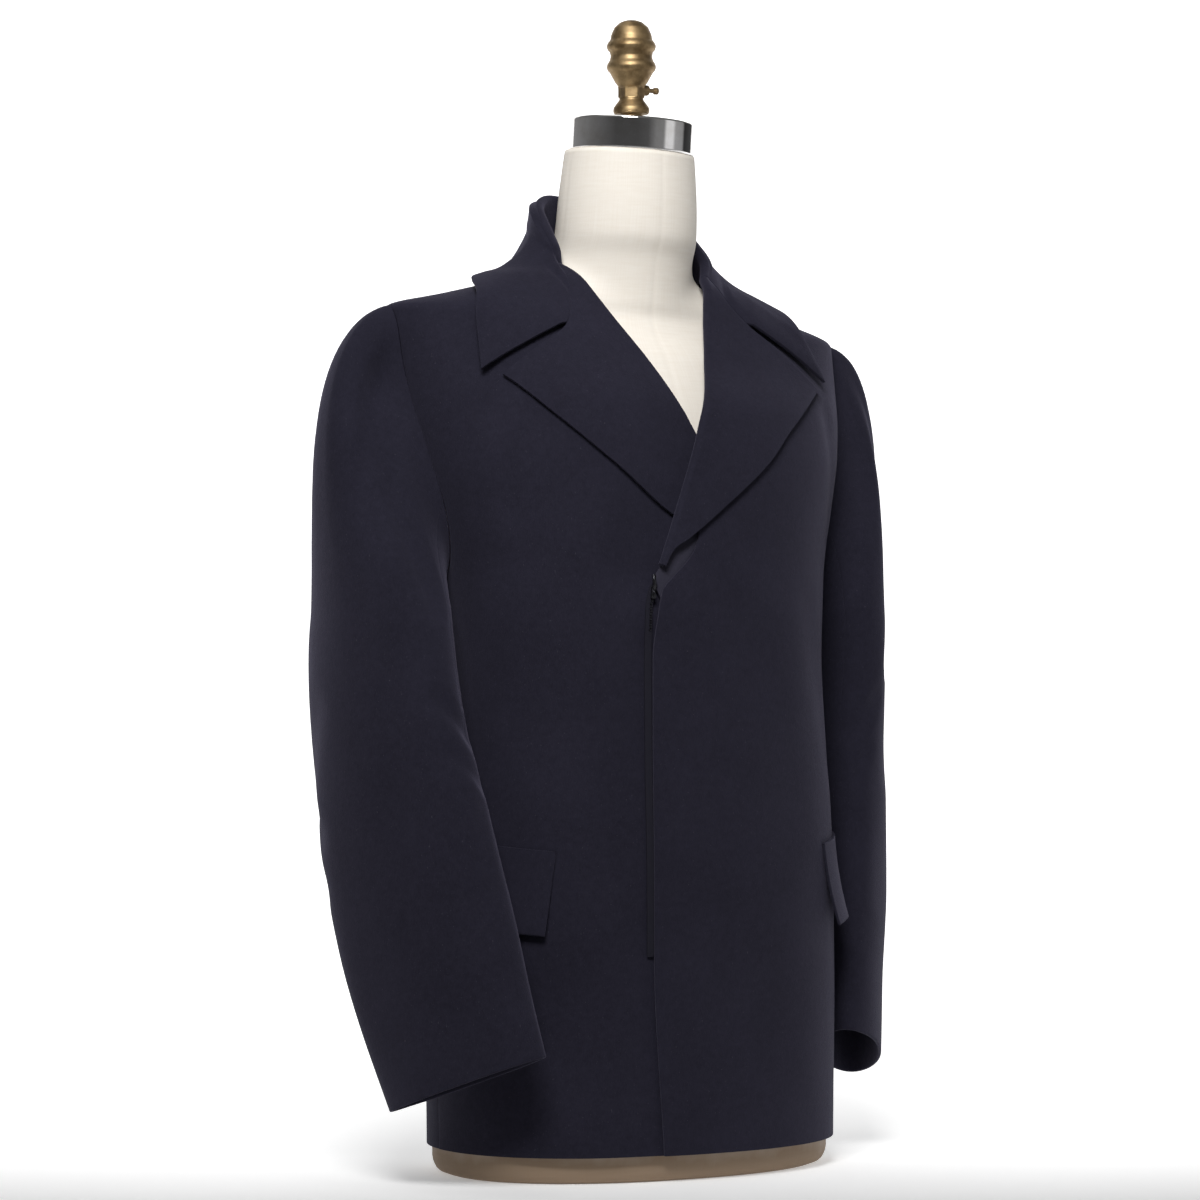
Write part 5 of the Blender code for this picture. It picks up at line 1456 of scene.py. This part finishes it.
print("teeth tree:", len(teeth.nodes), "nodes")

# %% The teeth that show at the zip's top
TEETH_FROM, TEETH_TO = 0.462, 0.499
TEETH_IN, TEETH_UP = 0.0019, 0.0004  # in from the front's edge, and off the tape
tooth_heights = np.linspace(TEETH_FROM, TEETH_TO, 20)
tooth_turn = turn_at_x(TEETH_IN - eased(ROLL_LINES["left"], tooth_heights)[0], tooth_heights)
tooth_lift = body_relief(-tooth_turn, tooth_heights) - TAPE_DEPTH + TEETH_UP
tooth_off = coat_normal(tooth_turn, tooth_heights) * tooth_lift[:, None]
tooth_line = hung(mirrored(coat_point(tooth_turn, tooth_heights) + tooth_off))
line_mesh = bpy.data.meshes.new("zip_tooth_line")
steps = [(i, i + 1) for i in range(len(tooth_line) - 1)]
line_mesh.from_pydata(tooth_line.tolist(), steps, [])
line = in_scene("zip_tooth_line", line_mesh)
tooth_maker = line.modifiers.new("Teeth", "NODES")
tooth_maker.node_group = teeth
for name, metres in TOOTH.items():
    tooth_maker[tooth_sockets[name]] = metres
grown = line.evaluated_get(bpy.context.evaluated_depsgraph_get())
teeth_mesh = bpy.data.meshes.new_from_object(grown)
bpy.data.objects.remove(line)
teeth_mesh.materials.clear()
add_piece("zip_teeth", None, teeth_mesh, zip_metal)
teeth_mesh.polygons.foreach_set("use_smooth", np.zeros(len(teeth_mesh.polygons), bool))
print("zip teeth:", len(teeth_mesh.polygons) // 6)

# %% [markdown]
# The slider is a small cast box with a bridge on its face. The pull hangs from the bridge. It
# is built as shaped plates, because a few tiny chamfered blocks already catch the light
# as the casting does.

# %% The slider and its pull
SLIDER_SIZE = (0.0044, 0.0036, 0.0105)
SLIDER_HEIGHT = 0.4935
SLIDER_ROUNDING = 0.00018
SHIELD = (
    (-0.55, -1), (0.55, -1), (0.72, 0.1), (1, 0.62), (0.8, 1), (-0.8, 1), (-1, 0.62), (-0.72, 0.1),
)
FACE = 0.55  # how far forward the shield's face is, of half its depth
BRIDGE_WIDE, BRIDGE_TALL = 0.0007, 0.0032
BRIDGE_UP, BRIDGE_OUT = 0.0006, 0.0006
BRIDGE = ((-1, -1), (1, -1), (1, 1), (-1, 1))
BRIDGE_ROOT = 0.5
PULL_SIZE = (0.0030, 0.0010, 0.0130)
PULL_DROP = 0.0085
PULL_SUNK = 0.0002
PULL_CORNERS = 20


def slider_frame():
    """Where the slider sits on the tape: its middle, and its front facing off the coat."""
    edge = -float(eased(ROLL_LINES["left"], SLIDER_HEIGHT)[0]) + SEAM
    turn = float(turn_at_x(edge + 2 * SEAM + SLIDER_SIZE[0] / 2, SLIDER_HEIGHT))
    out, seat = Vector(coat_normal(turn, SLIDER_HEIGHT)), Vector(coat_point(turn, SLIDER_HEIGHT))
    lift = float(body_relief(-turn, SLIDER_HEIGHT))
    seat -= out * (TAPE_DEPTH - 2 * SEAM - SLIDER_SIZE[1] / 2 - lift)
    out.x, seat.x = -out.x, -seat.x
    across = Vector((0, 0, 1)).cross(-out).normalized()
    turned = Matrix((across, -out, across.cross(-out))).transposed().to_4x4()
    return Matrix.Translation(seat) @ turned


def plate(shape, outline, front, back):
    """A plate from its outline (x, z), between two depths."""
    ends = [[shape.verts.new((x, y, z)) for x, z in outline] for y in (front, back)]
    shape.faces.new(ends[0])
    shape.faces.new(ends[1][::-1])
    for i in range(len(outline)):
        j = (i + 1) % len(outline)
        shape.faces.new((ends[0][j], ends[0][i], ends[1][i], ends[1][j]))


half_wide, half_deep, half_tall = (side / 2 for side in SLIDER_SIZE)
pull_round = PULL_SIZE[0] / 2
pull_reach = PULL_SIZE[2] / 2 - pull_round
pull = []
for i in range(PULL_CORNERS):
    angle = math.tau * i / PULL_CORNERS
    x, z = math.cos(angle) * pull_round, math.sin(angle) * pull_round
    pull.append((x, z + math.copysign(pull_reach, z) - PULL_DROP))
shield = [(x * half_wide, z * half_tall) for x, z in SHIELD]
bridge = [(x * BRIDGE_WIDE, BRIDGE_UP + z * BRIDGE_TALL) for x, z in BRIDGE]
pull_back = PULL_SUNK - half_deep
shape = bmesh.new()
plate(shape, shield, -half_deep * FACE, half_deep)
plate(shape, bridge, -half_deep - BRIDGE_OUT, -half_deep * BRIDGE_ROOT)
plate(shape, pull, pull_back - PULL_SIZE[1], pull_back)
bmesh.ops.recalc_face_normals(shape, faces=shape.faces)
edges = list(shape.edges)
bmesh.ops.bevel(shape, geom=edges, offset=SLIDER_ROUNDING, segments=2, affect="EDGES")
slider_mesh = bpy.data.meshes.new("zip_slider_body")
shape.to_mesh(slider_mesh)
shape.free()
slider_mesh.transform(slider_frame())
add_piece("zip_slider_body", "zip_slider", slider_mesh, zip_metal)

# %% [markdown]

# %% [markdown]
# ## Floor and light
#
# A pale floor curves up into a pale wall. Both glow with painted light that stands in for lamps,
# most strongly far behind the form. A soft light stands high on the viewer's left,
# near enough and with a beam so narrow that the coat darkens towards its hem, and a weaker one
# hangs overhead. Dark wool needs a soft source from one side, or its creases vanish. Chrome
# shows nothing but the room, so the room is dark behind the viewer and has tall pale openings
# at its sides.

# %% Paper
AWAY_FROM_VIEWER = (0.5, 0.866, 0.0)
# from how far behind the form, to how far, and how strong the glow is at both
GLOWS = ((-0.35, 0.05, 0.0, 0.46), (0.1, 1.2, 0.0, 0.54))


def self_lit_paper():
    """Paper with a painted glow that stands in for lamps, stronger far behind the form."""
    made, tree, shader = finish_of(
        "self_lit_paper", Roughness=0.9, Specular_IOR_Level=0.1, Emission_Strength=1.0,
    )
    grain = noise(tree, object_place(tree), 40.0, 3.0)
    tree.links.new(mixed(tree, grain, (0.86, 0.86, 0.86), (0.90, 0.90, 0.90)), shader["Base Color"])
    along = {0: object_place(tree), 1: AWAY_FROM_VIEWER}
    behind = node(tree, "ShaderNodeVectorMath", along, operation="DOT_PRODUCT")["Value"]
    # painted light: the paper glows by itself, as lamps standing behind the form would light it
    glow = maths(tree, "ADD", *(between(tree, behind, *ends) for ends in GLOWS))
    tree.links.new(glow, shader["Emission Color"])
    return made


# %% Floor and backdrop
FLOOR_FROM, FLOOR_TO, FLOOR_HALF_WIDTH = -6.0, 5.0, 6.0
BEND = 1.4
WALL_TOP = 6.0
sweep = [(FLOOR_FROM, 0.0), (FLOOR_TO, 0.0)]
for angle in np.linspace(0.1, math.pi / 2, 12):
    sweep.append((FLOOR_TO + BEND * math.sin(angle), BEND - BEND * math.cos(angle)))
sweep.append((FLOOR_TO + BEND, WALL_TOP))
turned = Matrix.Rotation(CAMERA_TURN, 4, "Z")
ends = (-FLOOR_HALF_WIDTH, FLOOR_HALF_WIDTH)
floor_points = [tuple(turned @ Vector((x, y, z))) for y, z in sweep for x in ends]
floor_faces = [(2 * i, 2 * i + 1, 2 * i + 3, 2 * i + 2) for i in range(len(sweep) - 1)]
floor_mesh = bpy.data.meshes.new("floor")
floor_mesh.from_pydata(floor_points, [], floor_faces)
floor_mesh.materials.append(self_lit_paper())
floor_mesh.polygons.foreach_set("use_smooth", np.ones(len(floor_faces), bool))
floor = in_scene("floor", floor_mesh)
print("floor and wall:", len(floor_faces), "strips")

# %% The two lights
# place, what it looks at, width and height, power, and the angle of its beam
LIGHTS = {
    "key_light": ((-1.15, -1.60, 2.15), (-0.08, 0, 0.72), (1.0, 0.8), 8.5, 60),
    "top_light": ((-0.4, 0.1, 2.6), (0, 0, 0.8), (1.2, 1.0), 5, 180),
}
for name, (place, aim, (width, height), power, beam) in LIGHTS.items():
    lamp = bpy.data.lights.new(name, "AREA")
    lamp.shape = "RECTANGLE"
    lamp.size, lamp.size_y = width, height
    lamp.energy = power
    lamp.spread = math.radians(beam)
    made = in_scene(name, lamp)
    made.location = place
    made.rotation_euler = (Vector(aim) - Vector(place)).to_track_quat("-Z", "Y").to_euler()
print(len(LIGHTS), "lights")

# %% The room seen all round: dark behind the viewer, with tall pale openings at the sides
VIEWER_AZIMUTH = math.radians(-120.4)
# degrees round from the viewer, and how pale the wall is there
ROOM = (
    (-180, 0.34), (-125, 0.22), (-61, 0.11), (-30, 0.06), (10, 0.06), (30, 0.08), (45, 0.20), (60, 0.22),
    (66, 0.75), (80, 0.75), (86, 0.35), (105, 0.28), (110, 0.03), (140, 0.07), (165, 0.30), (180, 0.34),
)
ROOM_BLUE = 1.02
CEILING = (0.14, 0.14, 0.14)
WALLS_END = (0.22, 0.40)  # the walls give way to the ceiling between these rises
world = bpy.data.worlds.new("studio_room")
bpy.context.scene.world = world
world.use_nodes = True
room = world.node_tree
facing = {"Vector": node(room, "ShaderNodeTexCoord")["Generated"], "Angle": -VIEWER_AZIMUTH}
looking = node(room, "ShaderNodeVectorRotate", facing, rotation_type="Z_AXIS")[0]
sight = node(room, "ShaderNodeSeparateXYZ", {0: looking})
azimuth = maths(room, "ARCTAN2", sight["Y"], sight["X"])
walls = room.nodes.new("ShaderNodeValToRGB")
room.links.new(maths(room, "MULTIPLY_ADD", azimuth, 1 / math.tau, 0.5), walls.inputs["Fac"])
stops = walls.color_ramp.elements
for i, (degrees, grey) in enumerate(ROOM):
    place = degrees / 360 + 0.5
    stop = stops[0] if i == 0 else stops.new(place)
    stop.position, stop.color = place, (grey, grey, grey * ROOM_BLUE, 1)
stops.remove(stops[-1])
overhead = between(room, sight["Z"], *WALLS_END)
background = room.nodes["Background"].inputs
room.links.new(mixed(room, overhead, walls.outputs["Color"], CEILING), background["Color"])
background["Strength"].default_value = 1.0
bpy.context.scene.view_settings.view_transform = "Standard"
print(len(ROOM), "stops round the room")

# %% How many pieces were made
print(len(MADE), "pieces made")
